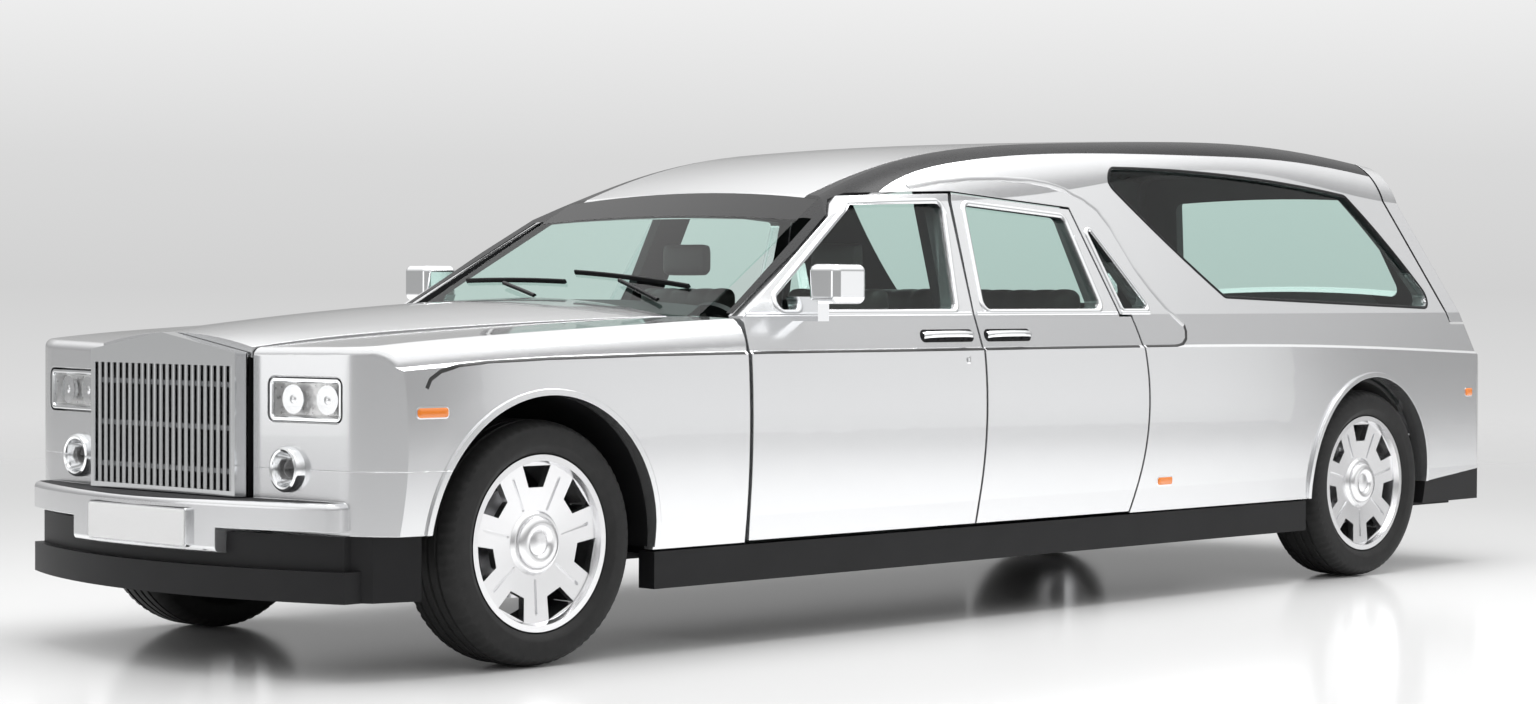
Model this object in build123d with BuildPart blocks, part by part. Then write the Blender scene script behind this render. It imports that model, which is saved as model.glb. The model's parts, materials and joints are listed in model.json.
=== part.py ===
from build123d import *
from collections import namedtuple
from math import atan2, cos, radians, sin
import os

os.makedirs("parts", exist_ok=True)

# Millimetres. X points to the front, Y to the left, Z up; the ground is Z = 0.

# Overall sizes and wheel places
LENGTH = 6700
WHEELBASE = 4710
FRONT_OVERHANG = 900
FRONT_END = LENGTH / 2
REAR_END = -LENGTH / 2
FRONT_AXLE = FRONT_END - FRONT_OVERHANG
REAR_AXLE = FRONT_AXLE - WHEELBASE
WHEEL_Y = 828
TYRE_R = 395
TYRE_W = 265
RIM_R = 284

# Clearances
SEAT_GAP = 0.3
DOOR_GAP = 10
POST_GAP = 20
LID_GAP = 8
TAILGATE_GAP = 14

# Limits of cutting blocks, all well outside the car
OUTSIDE = 2500
Y_OUT = 1200
Z_OUT = 2100

# Body wall
SKIN_BOTTOM = 290
BODY_BOTTOM = 350
LOWER_CREASE = 440
BELLY_Z = 700
WAIST_Z = 1118
WAIST_STEP = 50
DOOR_WALL = 70
FRAME_WALL = 42
GLASS_SET = 14
GLASS_T = 5
ROOF_HALF = 585
ROOF_FRONT = 1200
ROOF_LOW = 1500

# Wheel arches and the raised lips round them
ARCH_FRONT_R = 475
ARCH_REAR_R = 452
LIP_OUT = 9
LIP_W = 20
FRONT_LIP_IN = 915
REAR_LIP_IN = 930

# Cross-sections of the cabin and load space, front to rear
Section = namedtuple("Section", "x half crease cant_y cant_z rail_y rail_z crown")
CABIN = [
    Section(1532, 985, 990, 847, 1319, 693, 1361, 1385),
    Section(860, 988, 990, 771, 1490, 640, 1540, 1560),
    Section(340, 990, 990, 752, 1536, 606, 1694, 1708),
    Section(-400, 990, 988, 735, 1590, 598, 1779, 1790),
    Section(-1420, 988, 984, 706, 1705, 596, 1823, 1836),
    Section(-2400, 978, 962, 704, 1640, 588, 1799, 1812),
    Section(-2900, 960, 944, 690, 1600, 574, 1752, 1764),
    Section(-3400, 938, 925, 676, 1570, 556, 1690, 1700),
]
REAR_ROWS = 4

# Shape of a cross-section: steps in from the widest line, and shares of a wall taken off the roof line
FOOT_IN = 22
TUCK_IN = 12
BELLY_OUT = 2
CREASE_IN = 6
LEDGE_IN = 17
LEDGE_UP = 10
CANT_SINK = 0.2
RAIL_SET = 0.5
RAIL_SINK = 0.85
BROW_BULGE = 0.13

# Windscreen and tail slopes
SCREEN_X = 1530
SCREEN_Z = 1165
SCREEN_ANGLE = 30.2
SCREEN_CURVE_R = 12000
SCREEN_T = 6
SCREEN_LOW = -60
SCREEN_HIGH = 800
SCREEN_HALF_LOW = 762
SCREEN_HALF_HIGH = 660
SCREEN_BOW = 36
TAIL_X = -2870
TAIL_Z = 1770
TAIL_ANGLE = 116
TAIL_CURVE_R = 3400
TAILGATE_T = 95
TAIL_WALL = 55
TAILGATE_LOW = 560
TAILGATE_HALF = 640
TAILGATE_DEEP = 120
TAILGATE_TOP_DEEP = 180
TAIL_SHOULDER = 1075
TAIL_REACH = 300
SLOPE_HALF = 900
SLOPE_WIDE = 1250
SLOPE_REACH = 4000
PANE_CUT = 400

# Rear window corners on the tail slope: half widths and distances along the slope
TAIL_WINDOW_HALF_LOW = 620
TAIL_WINDOW_HALF_HIGH = 500
TAIL_WINDOW_LOW = -600
TAIL_WINDOW_HIGH = -130

# Ground plan of the tail: distances from the rear end and half widths
PLAN_CORNER = 290
PLAN_CORNER_HALF = 964
PLAN_TURN = 130
PLAN_TURN_HALF = 895
PLAN_TAIL_HALF = 700
PLAN_TAIL_BOW = 48

# Front wings: outer and inner edges of the wing top along the car
Wing = namedtuple("Wing", "x half crease edge_y edge_z inner_y inner_z")
WINGS = [
    Wing(1542, 985, 990, 905, 1109, 716, 1117),
    Wing(2000, 987, 988, 903, 1091, 650, 1102),
    Wing(2450, 986, 982, 900, 1070, 572, 1080),
    Wing(2850, 975, 966, 890, 1048, 486, 1053),
    Wing(3250, 930, 938, 850, 1012, 398, 1010),
]
WING_WALL = 45
NOSE_WALL = 65
WING_TOP_Z = 1000
NOSE_IN = (3188, 395)
NOSE_OUT = (3138, 780)
NOSE_CORNER = (3078, 908)
NOSE_SIDE = (2880, 1010)
NOSE_SEAM = 645
COVER_LOW = 446
NOSE_EDGE_R = 30
NOSE_EDGE_X = 3050
NOSE_EDGE_Z = 985
NOSE_ROOT = 300
WING_SWELL = 14
WING_ROOM_X = 3000
WING_ROOM_HALF = 780
LAMP_ROOM_HALF = 640

# Front wheelhouse liners
LINER_T = 8
LINER_IN = 452
LINER_OUT = 938
LINER_FRONT_LOW = 460
LINER_REAR_LOW = 360
LINER_DOOR_HALF = 150
LINER_DOOR_HIGH = 600

# Bonnet
Lid = namedtuple("Lid", "x edge_y edge_z crown")
BONNET = [
    Lid(1650, 692, 1116, 1176),
    Lid(2000, 642, 1106, 1162),
    Lid(2450, 564, 1086, 1132),
    Lid(2850, 478, 1060, 1096),
    Lid(3186, 404, 1022, 1064),
]
BONNET_T = 34
BONNET_BASE = 900

# Grille
GRILLE_X = 3244
GRILLE_BACK = 3192
GRILLE_HALF = 392
GRILLE_BOTTOM = 552
GRILLE_EAVE = 1004
GRILLE_PEAK = 1064
GRILLE_RIM = 17
GRILLE_HEAD = 962
SLATS = 22
SLAT_W = 18
SLAT_DEPTH = 30
SLAT_SET = 8
SLAT_ROUND = 6
SLAT_BAR = 16
SLAT_BAR_END = 60

# Lamps
LAMP_Z = 861
LAMP_H = 122
LAMP_INNER = 484
LAMP_OUTER = 782
LAMP_DEPTH = 60
LAMP_ROUND = 16
LAMP_SET = 10
LAMP_RIM = 12
LAMP_RECESS = 26
SPOT_Y = 566
SPOT_Z = 644
SPOT_R = 72
SPOT_DEPTH = 66
SPOT_OUT = 24
LAMP_HOLE = 200

# Bumpers and lower skirts
BAR_HALF = 815
BAR_END_X = 3190
BAR_BACK = 3110
BAR_SEAT = 3140
BAR_SEAT_HALF = 400
BAR_LOW = 379
BAR_HIGH = 548
BAR_CORNER_R = 40
BAR_EDGE_R = 20
INTAKE_IN = 385
INTAKE_TOP = 460
INTAKE_SET = 45
LIP_LOW = 240
LIP_TOP = 338
LIP_HALF_Y = 842
LIP_FRONT = 3338
LIP_END_X = 3165
LIP_T = 60
SKIRT_LOW = 218
SKIRT_HIGH = 342
SKIRT_OUT = 958
SKIRT_T = 74
SKIRT_GAP = 12
CORNER_SKIRT = [(3130, 800), (3080, 872), (2925, 918), (2925, 880), (3060, 838), (3095, 780)]

# Door outline points, x and z
DOOR_FRONT_X = 1525
DOOR_BOTTOM = 356
PILLAR_MID = (1206, 1308)
DOOR_TOP_FRONT = (800, 1548)
DOOR_TOP_SPLIT = (231, 1568)
DOOR_WAIST_SPLIT = (318, WAIST_Z)
DOOR_MID_SPLIT = (300, 760)
DOOR_LOW_SPLIT = (340, DOOR_BOTTOM)
REAR_TOP_END = (-452, 1522)
REAR_FRAME_FOOT = (-548, WAIST_Z)
REAR_WAIST_END = (-622, WAIST_Z - 10)
REAR_MID_END = (-677, 770)
REAR_LOW_END = (-575, DOOR_BOTTOM)
DOOR_IN = 690
WINDOW_IN = 600

# Window outlines, x and z, as corner lists
SILL_GLASS = 1140
FRONT_WINDOW = [(1404, SILL_GLASS), (790, 1514), (292, 1530), (412, SILL_GLASS)]
REAR_WINDOW = [(160, 1526), (-398, 1488), (-448, SILL_GLASS), (248, SILL_GLASS)]
QUARTER_LIGHT = [(-512, 1476), (-746, SILL_GLASS), (-588, SILL_GLASS)]
WINDOW_R = 26
QUARTER_R = 10
LONG_R = 46
GLASS_HIGH = 1720

# Long hearse window, x and z: corners and the middles of its bowed ends and top
LONG_FRONT_TOP = (-700, 1688)
LONG_FRONT_MID = (-975, 1434)
LONG_FRONT_FOOT = (-1285, 1190)
LONG_REAR_FOOT = (-2852, 1142)
LONG_REAR_MID = (-2650, 1405)
LONG_REAR_TOP = (-2432, 1617)
LONG_TOP_MID = (-1560, 1681)

# Lower edge of the black roof rails, x and z, from the windscreen pillar to the tail
RAIL_PILLAR = [(1620, 1060), (1500, 1092), (1180, 1290), (800, 1530), (650, 1545)]
RAIL_EDGE = [(650, 1545), (383, 1642), (107, 1692), (-192, 1724), (-721, 1752), (-1445, 1765), (-1982, 1765),
             (-2515, 1734), (-2950, 1688)]
RAIL_IN = 500

# Cabin fittings
FLOOR_Z = 262
FLOOR_T = 22
FLOOR_TOP = FLOOR_Z + FLOOR_T
BULKHEAD_BACK = 1500
BULKHEAD_FRONT = 1545
BULKHEAD_HALF = 716
BULKHEAD_TOP = 1060
COWL_FRONT = 1604
COWL_HALF = 700
COWL_LOW = 1040
COWL_HIGH = 1170
SUPPORT_BACK = 3100
SUPPORT_FRONT = 3186
SUPPORT_HALF = 392
SUPPORT_TOP = 900
POST_T = 45
POST = [(180, 200), (430, 200), (400, 1140), (330, 1600), (170, 1600), (230, 1140)]
DECK_Z = 720
DECK_T = 30
WELL_IN = 640
WELL_OUT = 895
WELL_R = 448
WELL_T = 14
PARTITION_X = -700
PARTITION_T = 30
SEAT_Y = 400
SEAT_TOP = 700
BACK_TOP = 1240
HEADREST_TOP = 1400
BENCH_HALF = 700

# Running gear
HUB_R = 95
SPOKES = 7
STUB_R = 40
KINGPIN_Y = 745
ARM_Z = 232
ARM_T = 30
UPPER_ARM_Z = 540
BEAD_HALF = 100
LIP_HALF = 112
DISC_Y = 84
DISC_T = 26
BRAKE_R = 182
BRAKE_Y = -38
BRAKE_T = 24
HUB_BACK = -40
HUB_BACK_R = 70
STUB_FROM = -45
STUB_HOLE = 80
STUB_END = 30
RIM_T = 12
BEAD_UP = 3
FLANK_R = 302
FLANK_IN = 8
TYRE_BULGE_R = 340
SHOULDER_R = 376
SHOULDER_IN = 10
TREAD_IN = 38
TREAD_DROP = 4
WINDOW_RING = [(178, -31), (248, -60), (248, 60), (178, 31)]
GROOVE_FROM = 112
GROOVE_TO = 232
GROOVE_W = 11
GROOVE_DEEP = 5


def box(x0, x1, y0, y1, z0, z1):
    """Plain block between two corners."""
    with BuildPart() as block:
        with BuildSketch(Plane.XY.offset(z0)):
            with Locations(((x0 + x1) / 2, (y0 + y1) / 2)):
                Rectangle(abs(x1 - x0), abs(y1 - y0))
        extrude(amount=z1 - z0)
    return block.part


def soft_box(x0, x1, y0, y1, z0, z1, radius):
    """Block with rounded upright edges."""
    with BuildPart() as block:
        with BuildSketch(Plane.XY.offset(z0)):
            with Locations(((x0 + x1) / 2, (y0 + y1) / 2)):
                RectangleRounded(abs(x1 - x0), abs(y1 - y0), radius)
        extrude(amount=z1 - z0)
    return block.part


def round_bar(x, z, radius, y0, y1):
    """Cylinder along Y between two widths."""
    with BuildPart() as bar:
        with BuildSketch(Plane.XZ.offset(-y0)):
            with Locations((x, z)):
                Circle(radius)
        extrude(amount=-(y1 - y0))
    return bar.part


def round_ring(x, inner, outer, y0, y1):
    """Ring round an axle line between two widths."""
    with BuildPart() as ring:
        with BuildSketch(Plane.XZ.offset(-y0)):
            with Locations((x, TYRE_R)):
                Circle(outer)
                Circle(inner, mode=Mode.SUBTRACT)
        extrude(amount=-(y1 - y0))
    return ring.part


def side_prism(points, y0, y1, grow=0, radius=0):
    """Side-view outline carried across the car between two widths."""
    with BuildPart() as prism:
        with BuildSketch(Plane.XZ.offset(-y0)) as outline:
            with BuildLine():
                Polyline(*points, close=True)
            make_face()
            if radius:
                fillet(outline.vertices(), radius)
            if grow:
                offset(amount=grow, kind=Kind.INTERSECTION)
        extrude(amount=-(y1 - y0))
    return prism.part


def flip(part):
    """The same piece on the right-hand side."""
    with BuildPart() as other:
        mirror(part, about=Plane.XZ)
    return other.part


def both_sides(part):
    """A left piece and its mirror image as one part."""
    with BuildPart() as pair:
        add(part)
        mirror(part, about=Plane.XZ)
    return pair.part


def save(part, name):
    """Label one piece and write it."""
    part.label = name
    export_step(part, f"parts/{name}.step")


def save_pair(part, name):
    """Write a left piece and its mirror image."""
    save(part, f"{name}_left")
    save(flip(part), f"{name}_right")


def on(turn, point):
    """Point on the left (1) or right (-1) half of a cross-section."""
    return (turn * point[0], point[1])


def mirrored(point):
    """Point on the other half of a cross-section."""
    return on(-1, point)


def shift(point, step):
    """Point moved along the car."""
    return (point[0] + step, point[1])


# Cabin outline
def cabin_form(low, high, bottom, rows=CABIN):
    """Cabin as a solid, set in by low below the waist and by high above it."""
    with BuildPart() as form:
        for row in rows:
            side = row.half - low
            foot = (side - FOOT_IN, bottom)
            tuck = (side - TUCK_IN, LOWER_CREASE)
            belly = (side + BELLY_OUT, BELLY_Z)
            crease = (side - CREASE_IN, row.crease)
            ledge = (side - LEDGE_IN, row.crease + LEDGE_UP)
            waist = (side - WAIST_STEP, WAIST_Z)
            cant = (row.cant_y - high, row.cant_z - CANT_SINK * high)
            rail = (row.rail_y - RAIL_SET * high, row.rail_z - RAIL_SINK * high)
            bulge = BROW_BULGE * (row.rail_z - row.cant_z)
            brow = ((cant[0] + rail[0]) / 2 + bulge, (cant[1] + rail[1]) / 2 + bulge)
            with BuildSketch(Plane.YZ.offset(row.x)):
                with BuildLine():
                    Line(mirrored(foot), foot)
                    for turn in (1, -1):
                        Line(on(turn, foot), on(turn, tuck))
                        ThreePointArc(on(turn, tuck), on(turn, belly), on(turn, crease))
                        Line(on(turn, crease), on(turn, ledge))
                        Line(on(turn, ledge), on(turn, waist))
                        Line(on(turn, waist), on(turn, cant))
                        ThreePointArc(on(turn, cant), on(turn, brow), on(turn, rail))
                    ThreePointArc(rail, (0, row.crown - high), mirrored(rail))
                make_face()
        loft()
    return form.part


# Windscreen and tail surfaces: a shallow arc carried along a slope
def slope_planes(x, z, angle):
    """Plane across the slope and plane lying on it; angle is measured from the ground."""
    climb = (-cos(radians(angle)), 0, sin(radians(angle)))
    out = (sin(radians(angle)), 0, cos(radians(angle)))
    across = Plane(origin=(x, 0, z), x_dir=(0, 1, 0), z_dir=climb)
    lying = Plane(origin=(x, 0, z), x_dir=(0, 1, 0), z_dir=out)
    return across, lying


def slope_layer(across, curve_r, top, deep):
    """Layer under a sloping surface, from depth top to depth deep."""
    half = SLOPE_HALF
    wide = SLOPE_WIDE
    drop = half * half / (2 * curve_r)
    with BuildPart() as layer:
        with BuildSketch(across):
            with BuildLine():
                Line((-wide, drop + top), (-half, drop + top))
                ThreePointArc((-half, drop + top), (0, top), (half, drop + top))
                Line((half, drop + top), (wide, drop + top))
                Line((wide, drop + top), (wide, drop + deep))
                Line((wide, drop + deep), (half, drop + deep))
                ThreePointArc((half, drop + deep), (0, deep), (-half, drop + deep))
                Line((-half, drop + deep), (-wide, drop + deep))
                Line((-wide, drop + deep), (-wide, drop + top))
            make_face()
        extrude(amount=SLOPE_REACH, both=True)
    return layer.part


SCREEN_ACROSS, SCREEN_LYING = slope_planes(SCREEN_X, SCREEN_Z, SCREEN_ANGLE)
TAIL_ACROSS, TAIL_LYING = slope_planes(TAIL_X, TAIL_Z, TAIL_ANGLE)


def rear_plan(inset):
    """Ground plan of the cabin with rounded tail corners."""
    end = REAR_END + inset
    corner_x = REAR_END + PLAN_CORNER
    corner_y = PLAN_CORNER_HALF - inset
    turn_x = REAR_END + PLAN_TURN
    turn_y = PLAN_TURN_HALF - inset
    tail_x = end + PLAN_TAIL_BOW
    tail_y = PLAN_TAIL_HALF - inset
    with BuildPart() as plan:
        with BuildSketch(Plane.XY.offset(SKIRT_LOW - SKIRT_GAP)):
            with BuildLine():
                Polyline((corner_x, corner_y), (corner_x, Y_OUT), (FRONT_AXLE, Y_OUT), (FRONT_AXLE, -Y_OUT),
                         (corner_x, -Y_OUT), (corner_x, -corner_y))
                ThreePointArc((corner_x, -corner_y), (turn_x, -turn_y), (tail_x, -tail_y))
                ThreePointArc((tail_x, -tail_y), (end, 0), (tail_x, tail_y))
                ThreePointArc((tail_x, tail_y), (turn_x, turn_y), (corner_x, corner_y))
            make_face()
        extrude(amount=Z_OUT)
    return plan.part


def screen_pane(grow, depth):
    """Curved pane lying in the windscreen slope."""
    high = SCREEN_HIGH - SCREEN_BOW
    with BuildPart() as pane:
        add(slope_layer(SCREEN_ACROSS, SCREEN_CURVE_R, 0, depth))
        with BuildSketch(SCREEN_LYING.offset(-PANE_CUT)) as outline:
            with BuildLine():
                Line((-SCREEN_HALF_LOW, SCREEN_LOW), (SCREEN_HALF_LOW, SCREEN_LOW))
                Line((SCREEN_HALF_LOW, SCREEN_LOW), (SCREEN_HALF_HIGH, high))
                ThreePointArc((SCREEN_HALF_HIGH, high), (0, SCREEN_HIGH), (-SCREEN_HALF_HIGH, high))
                Line((-SCREEN_HALF_HIGH, high), (-SCREEN_HALF_LOW, SCREEN_LOW))
            make_face()
            if grow:
                offset(amount=grow, kind=Kind.INTERSECTION)
        extrude(amount=2 * PANE_CUT, mode=Mode.INTERSECT)
    return pane.part


with BuildPart() as cabin_outer:
    add(cabin_form(0, 0, SKIN_BOTTOM))
    add(rear_plan(0), mode=Mode.INTERSECT)
    add(slope_layer(TAIL_ACROSS, -TAIL_CURVE_R, 0, OUTSIDE), mode=Mode.SUBTRACT)
    add(slope_layer(SCREEN_ACROSS, SCREEN_CURVE_R, -OUTSIDE, 0), mode=Mode.SUBTRACT)

with BuildPart() as cabin_inner:
    add(cabin_form(DOOR_WALL, FRAME_WALL, SKIN_BOTTOM - DOOR_WALL))
    add(rear_plan(TAIL_WALL), mode=Mode.INTERSECT)
    add(slope_layer(TAIL_ACROSS, -TAIL_CURVE_R, -TAIL_WALL, OUTSIDE), mode=Mode.SUBTRACT)

# Windscreen: flush in a rebate of the pillars and the roof edge
screen_rebate = screen_pane(2 * SEAT_GAP, SCREEN_T + SEAT_GAP)
save(screen_pane(0, SCREEN_T), "windscreen")

with BuildPart() as shell:
    add(cabin_outer.part)
    add(cabin_inner.part, mode=Mode.SUBTRACT)
    add(screen_rebate, mode=Mode.SUBTRACT)

with BuildPart() as left_half:
    add(shell.part)
    add(box(REAR_END - LID_GAP, FRONT_END, 0, Y_OUT, 0, Z_OUT), mode=Mode.INTERSECT)


# Doors: outlines in side view
def front_door_prism(grow):
    """Front door outline with the sloping pillar edge."""
    waist = shift(DOOR_WAIST_SPLIT, DOOR_GAP / 2)
    with BuildPart() as prism:
        with BuildSketch(Plane.XZ.offset(-DOOR_IN)):
            with BuildLine():
                Line((DOOR_FRONT_X, DOOR_BOTTOM), (DOOR_FRONT_X, WAIST_Z))
                ThreePointArc((DOOR_FRONT_X, WAIST_Z), PILLAR_MID, DOOR_TOP_FRONT)
                Line(DOOR_TOP_FRONT, shift(DOOR_TOP_SPLIT, POST_GAP / 2))
                Line(shift(DOOR_TOP_SPLIT, POST_GAP / 2), waist)
                ThreePointArc(waist, shift(DOOR_MID_SPLIT, DOOR_GAP / 2), shift(DOOR_LOW_SPLIT, DOOR_GAP / 2))
                Line(shift(DOOR_LOW_SPLIT, DOOR_GAP / 2), (DOOR_FRONT_X, DOOR_BOTTOM))
            make_face()
            if grow:
                offset(amount=grow, kind=Kind.INTERSECTION)
        extrude(amount=-(Y_OUT - DOOR_IN))
    return prism.part


def rear_door_prism(grow):
    """Rear door outline, stepped at the waist behind its window frame."""
    waist = shift(DOOR_WAIST_SPLIT, -DOOR_GAP / 2)
    foot = shift(DOOR_LOW_SPLIT, -DOOR_GAP / 2)
    with BuildPart() as prism:
        with BuildSketch(Plane.XZ.offset(-DOOR_IN)):
            with BuildLine():
                ThreePointArc(foot, shift(DOOR_MID_SPLIT, -DOOR_GAP / 2), waist)
                Polyline(waist, shift(DOOR_TOP_SPLIT, -POST_GAP / 2), REAR_TOP_END, REAR_FRAME_FOOT,
                         (REAR_FRAME_FOOT[0], REAR_WAIST_END[1]), REAR_WAIST_END)
                ThreePointArc(REAR_WAIST_END, REAR_MID_END, REAR_LOW_END)
                Line(REAR_LOW_END, foot)
            make_face()
            if grow:
                offset(amount=grow, kind=Kind.INTERSECTION)
        extrude(amount=-(Y_OUT - DOOR_IN))
    return prism.part


with BuildPart() as front_door:
    add(left_half.part)
    add(front_door_prism(0), mode=Mode.INTERSECT)
    add(side_prism(FRONT_WINDOW, DOOR_IN, Y_OUT, radius=WINDOW_R), mode=Mode.SUBTRACT)
save_pair(front_door.part, "front_door")

with BuildPart() as rear_door:
    add(left_half.part)
    add(rear_door_prism(0), mode=Mode.INTERSECT)
    add(side_prism(REAR_WINDOW, DOOR_IN, Y_OUT, radius=WINDOW_R), mode=Mode.SUBTRACT)
save_pair(rear_door.part, "rear_door")

# Side glass: one thin layer under the outer surface, cut to each window
with BuildPart() as glass_layer:
    add(cabin_form(GLASS_SET, GLASS_SET, BODY_BOTTOM))
    add(cabin_form(GLASS_SET + GLASS_T, GLASS_SET + GLASS_T, BODY_BOTTOM - DOOR_WALL), mode=Mode.SUBTRACT)
    add(box(REAR_END, DOOR_FRONT_X, WINDOW_IN, Y_OUT, WAIST_Z, GLASS_HIGH), mode=Mode.INTERSECT)


def long_window(grow):
    """Outline of the long hearse window with bowed ends."""
    with BuildPart() as prism:
        with BuildSketch(Plane.XZ.offset(-WINDOW_IN)) as outline:
            with BuildLine():
                ThreePointArc(LONG_FRONT_TOP, LONG_FRONT_MID, LONG_FRONT_FOOT)
                Line(LONG_FRONT_FOOT, LONG_REAR_FOOT)
                ThreePointArc(LONG_REAR_FOOT, LONG_REAR_MID, LONG_REAR_TOP)
                ThreePointArc(LONG_REAR_TOP, LONG_TOP_MID, LONG_FRONT_TOP)
            make_face()
            if grow:
                offset(amount=grow, kind=Kind.INTERSECTION)
            fillet(outline.vertices(), LONG_R + grow)
        extrude(amount=-(Y_OUT - WINDOW_IN))
    return prism.part


def window_pane(outline):
    """Pane of one side window."""
    with BuildPart() as pane:
        add(glass_layer.part)
        add(outline, mode=Mode.INTERSECT)
    return pane.part


save_pair(window_pane(side_prism(FRONT_WINDOW, WINDOW_IN, Y_OUT, -SEAT_GAP, WINDOW_R)), "front_door_glass")
save_pair(window_pane(side_prism(REAR_WINDOW, WINDOW_IN, Y_OUT, -SEAT_GAP, WINDOW_R)), "rear_door_glass")

with BuildPart() as side_glass:
    add(window_pane(side_prism(QUARTER_LIGHT, WINDOW_IN, Y_OUT, -SEAT_GAP, QUARTER_R)))
    add(window_pane(long_window(-SEAT_GAP)))
save_pair(side_glass.part, "side_glass")


# Tailgate: the sloping end above the shoulder and the panel between the lamps below it
def tail_region(extra, gap):
    """Part of the tail that opens, deeper by extra and wider by gap."""
    behind = REAR_END - TAIL_REACH
    with BuildPart() as view:
        add(box(behind, TAIL_X + TAILGATE_TOP_DEEP, -Y_OUT, Y_OUT, TAIL_SHOULDER - gap, Z_OUT))
        add(box(behind, TAIL_X, -TAILGATE_HALF - gap, TAILGATE_HALF + gap, TAILGATE_LOW - gap, TAIL_SHOULDER))
    with BuildPart() as region:
        add(slope_layer(TAIL_ACROSS, -TAIL_CURVE_R, -TAILGATE_T - extra, OUTSIDE))
        add(box(behind, REAR_END + TAILGATE_DEEP + extra, -Y_OUT, Y_OUT, 0, TAIL_SHOULDER))
        add(view.part, mode=Mode.INTERSECT)
    return region.part


def tail_window(grow):
    """Block through the rear window, square to the tail slope."""
    low_corner = (TAIL_WINDOW_HALF_LOW, TAIL_WINDOW_LOW)
    high_corner = (TAIL_WINDOW_HALF_HIGH, TAIL_WINDOW_HIGH)
    with BuildPart() as block:
        with BuildSketch(TAIL_LYING.offset(-PANE_CUT)) as outline:
            with BuildLine():
                Polyline(mirrored(low_corner), low_corner, high_corner, mirrored(high_corner), close=True)
            make_face()
            fillet(outline.vertices(), 2 * WINDOW_R)
            if grow:
                offset(amount=grow, kind=Kind.INTERSECTION)
        extrude(amount=2 * PANE_CUT)
    return block.part


tail_room = tail_region(TAILGATE_GAP, LID_GAP)
with BuildPart() as tailgate:
    add(shell.part)
    add(tail_region(0, 0), mode=Mode.INTERSECT)
    add(tail_window(0), mode=Mode.SUBTRACT)
save(tailgate.part, "tailgate")

with BuildPart() as tailgate_glass:
    add(slope_layer(TAIL_ACROSS, -TAIL_CURVE_R, -GLASS_SET - GLASS_T, -GLASS_SET))
    add(tail_window(-SEAT_GAP), mode=Mode.INTERSECT)
save(tailgate_glass.part, "tailgate_glass")

# Roof panel between the rails
with BuildPart() as roof:
    add(shell.part)
    add(box(TAIL_X - TAIL_REACH, ROOF_FRONT, -ROOF_HALF, ROOF_HALF, ROOF_LOW, Z_OUT), mode=Mode.INTERSECT)
    add(tail_room, mode=Mode.SUBTRACT)
save(roof.part, "roof")


# Body sides: rear pillars and quarters below, black windscreen pillars and roof rails above
def rail_zone(drop):
    """Side view above the lower edge of the black rail, lowered by drop."""
    pillar = [(x, z - drop) for x, z in RAIL_PILLAR]
    edge = [(x, z - drop) for x, z in RAIL_EDGE]
    with BuildPart() as zone:
        with BuildSketch(Plane.XZ.offset(-RAIL_IN)):
            with BuildLine():
                Polyline(*pillar)
                Spline(*edge)
                Polyline(edge[-1], (edge[-1][0], Z_OUT), (pillar[0][0], Z_OUT), pillar[0])
            make_face()
        extrude(amount=-(Y_OUT - RAIL_IN))
    return zone.part


TAIL_SKIRT = [(-2600, 310), (-2690, 383), (REAR_END - 50, 446), (REAR_END - 50, 200), (-2600, 200)]
rear_arch = round_bar(REAR_AXLE, TYRE_R, ARCH_REAR_R, -Y_OUT, Y_OUT)
with BuildPart() as rear_lip:
    add(cabin_form(-LIP_OUT, 0, BODY_BOTTOM, CABIN[-REAR_ROWS:]))
    add(round_ring(REAR_AXLE, ARCH_REAR_R, ARCH_REAR_R + LIP_W, REAR_LIP_IN, Y_OUT), mode=Mode.INTERSECT)

with BuildPart() as side_wall:
    add(left_half.part)
    add(box(REAR_END, FRONT_END, 0, Y_OUT, 0, BODY_BOTTOM), mode=Mode.SUBTRACT)
    add(front_door_prism(DOOR_GAP), mode=Mode.SUBTRACT)
    add(rear_door_prism(DOOR_GAP), mode=Mode.SUBTRACT)
    add(box(TAIL_X - TAIL_REACH, ROOF_FRONT, 0, ROOF_HALF, ROOF_LOW, Z_OUT), mode=Mode.SUBTRACT)
    add(tail_room, mode=Mode.SUBTRACT)
    add(box(REAR_END - LID_GAP, REAR_END + TAIL_REACH, 0, TAILGATE_HALF + LID_GAP, 0, Z_OUT),
        mode=Mode.SUBTRACT)

with BuildPart() as body_side:
    add(side_wall.part)
    add(rear_lip.part)
    add(rail_zone(SEAT_GAP), mode=Mode.SUBTRACT)
    add(side_prism(QUARTER_LIGHT, WINDOW_IN, Y_OUT, radius=QUARTER_R), mode=Mode.SUBTRACT)
    add(long_window(0), mode=Mode.SUBTRACT)
    add(rear_arch, mode=Mode.SUBTRACT)
    add(side_prism(TAIL_SKIRT, 0, Y_OUT), mode=Mode.SUBTRACT)
save_pair(body_side.part, "body_side")

with BuildPart() as roof_rail:
    add(side_wall.part)
    add(rail_zone(0), mode=Mode.INTERSECT)
save(both_sides(roof_rail.part), "roof_rails")


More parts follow.
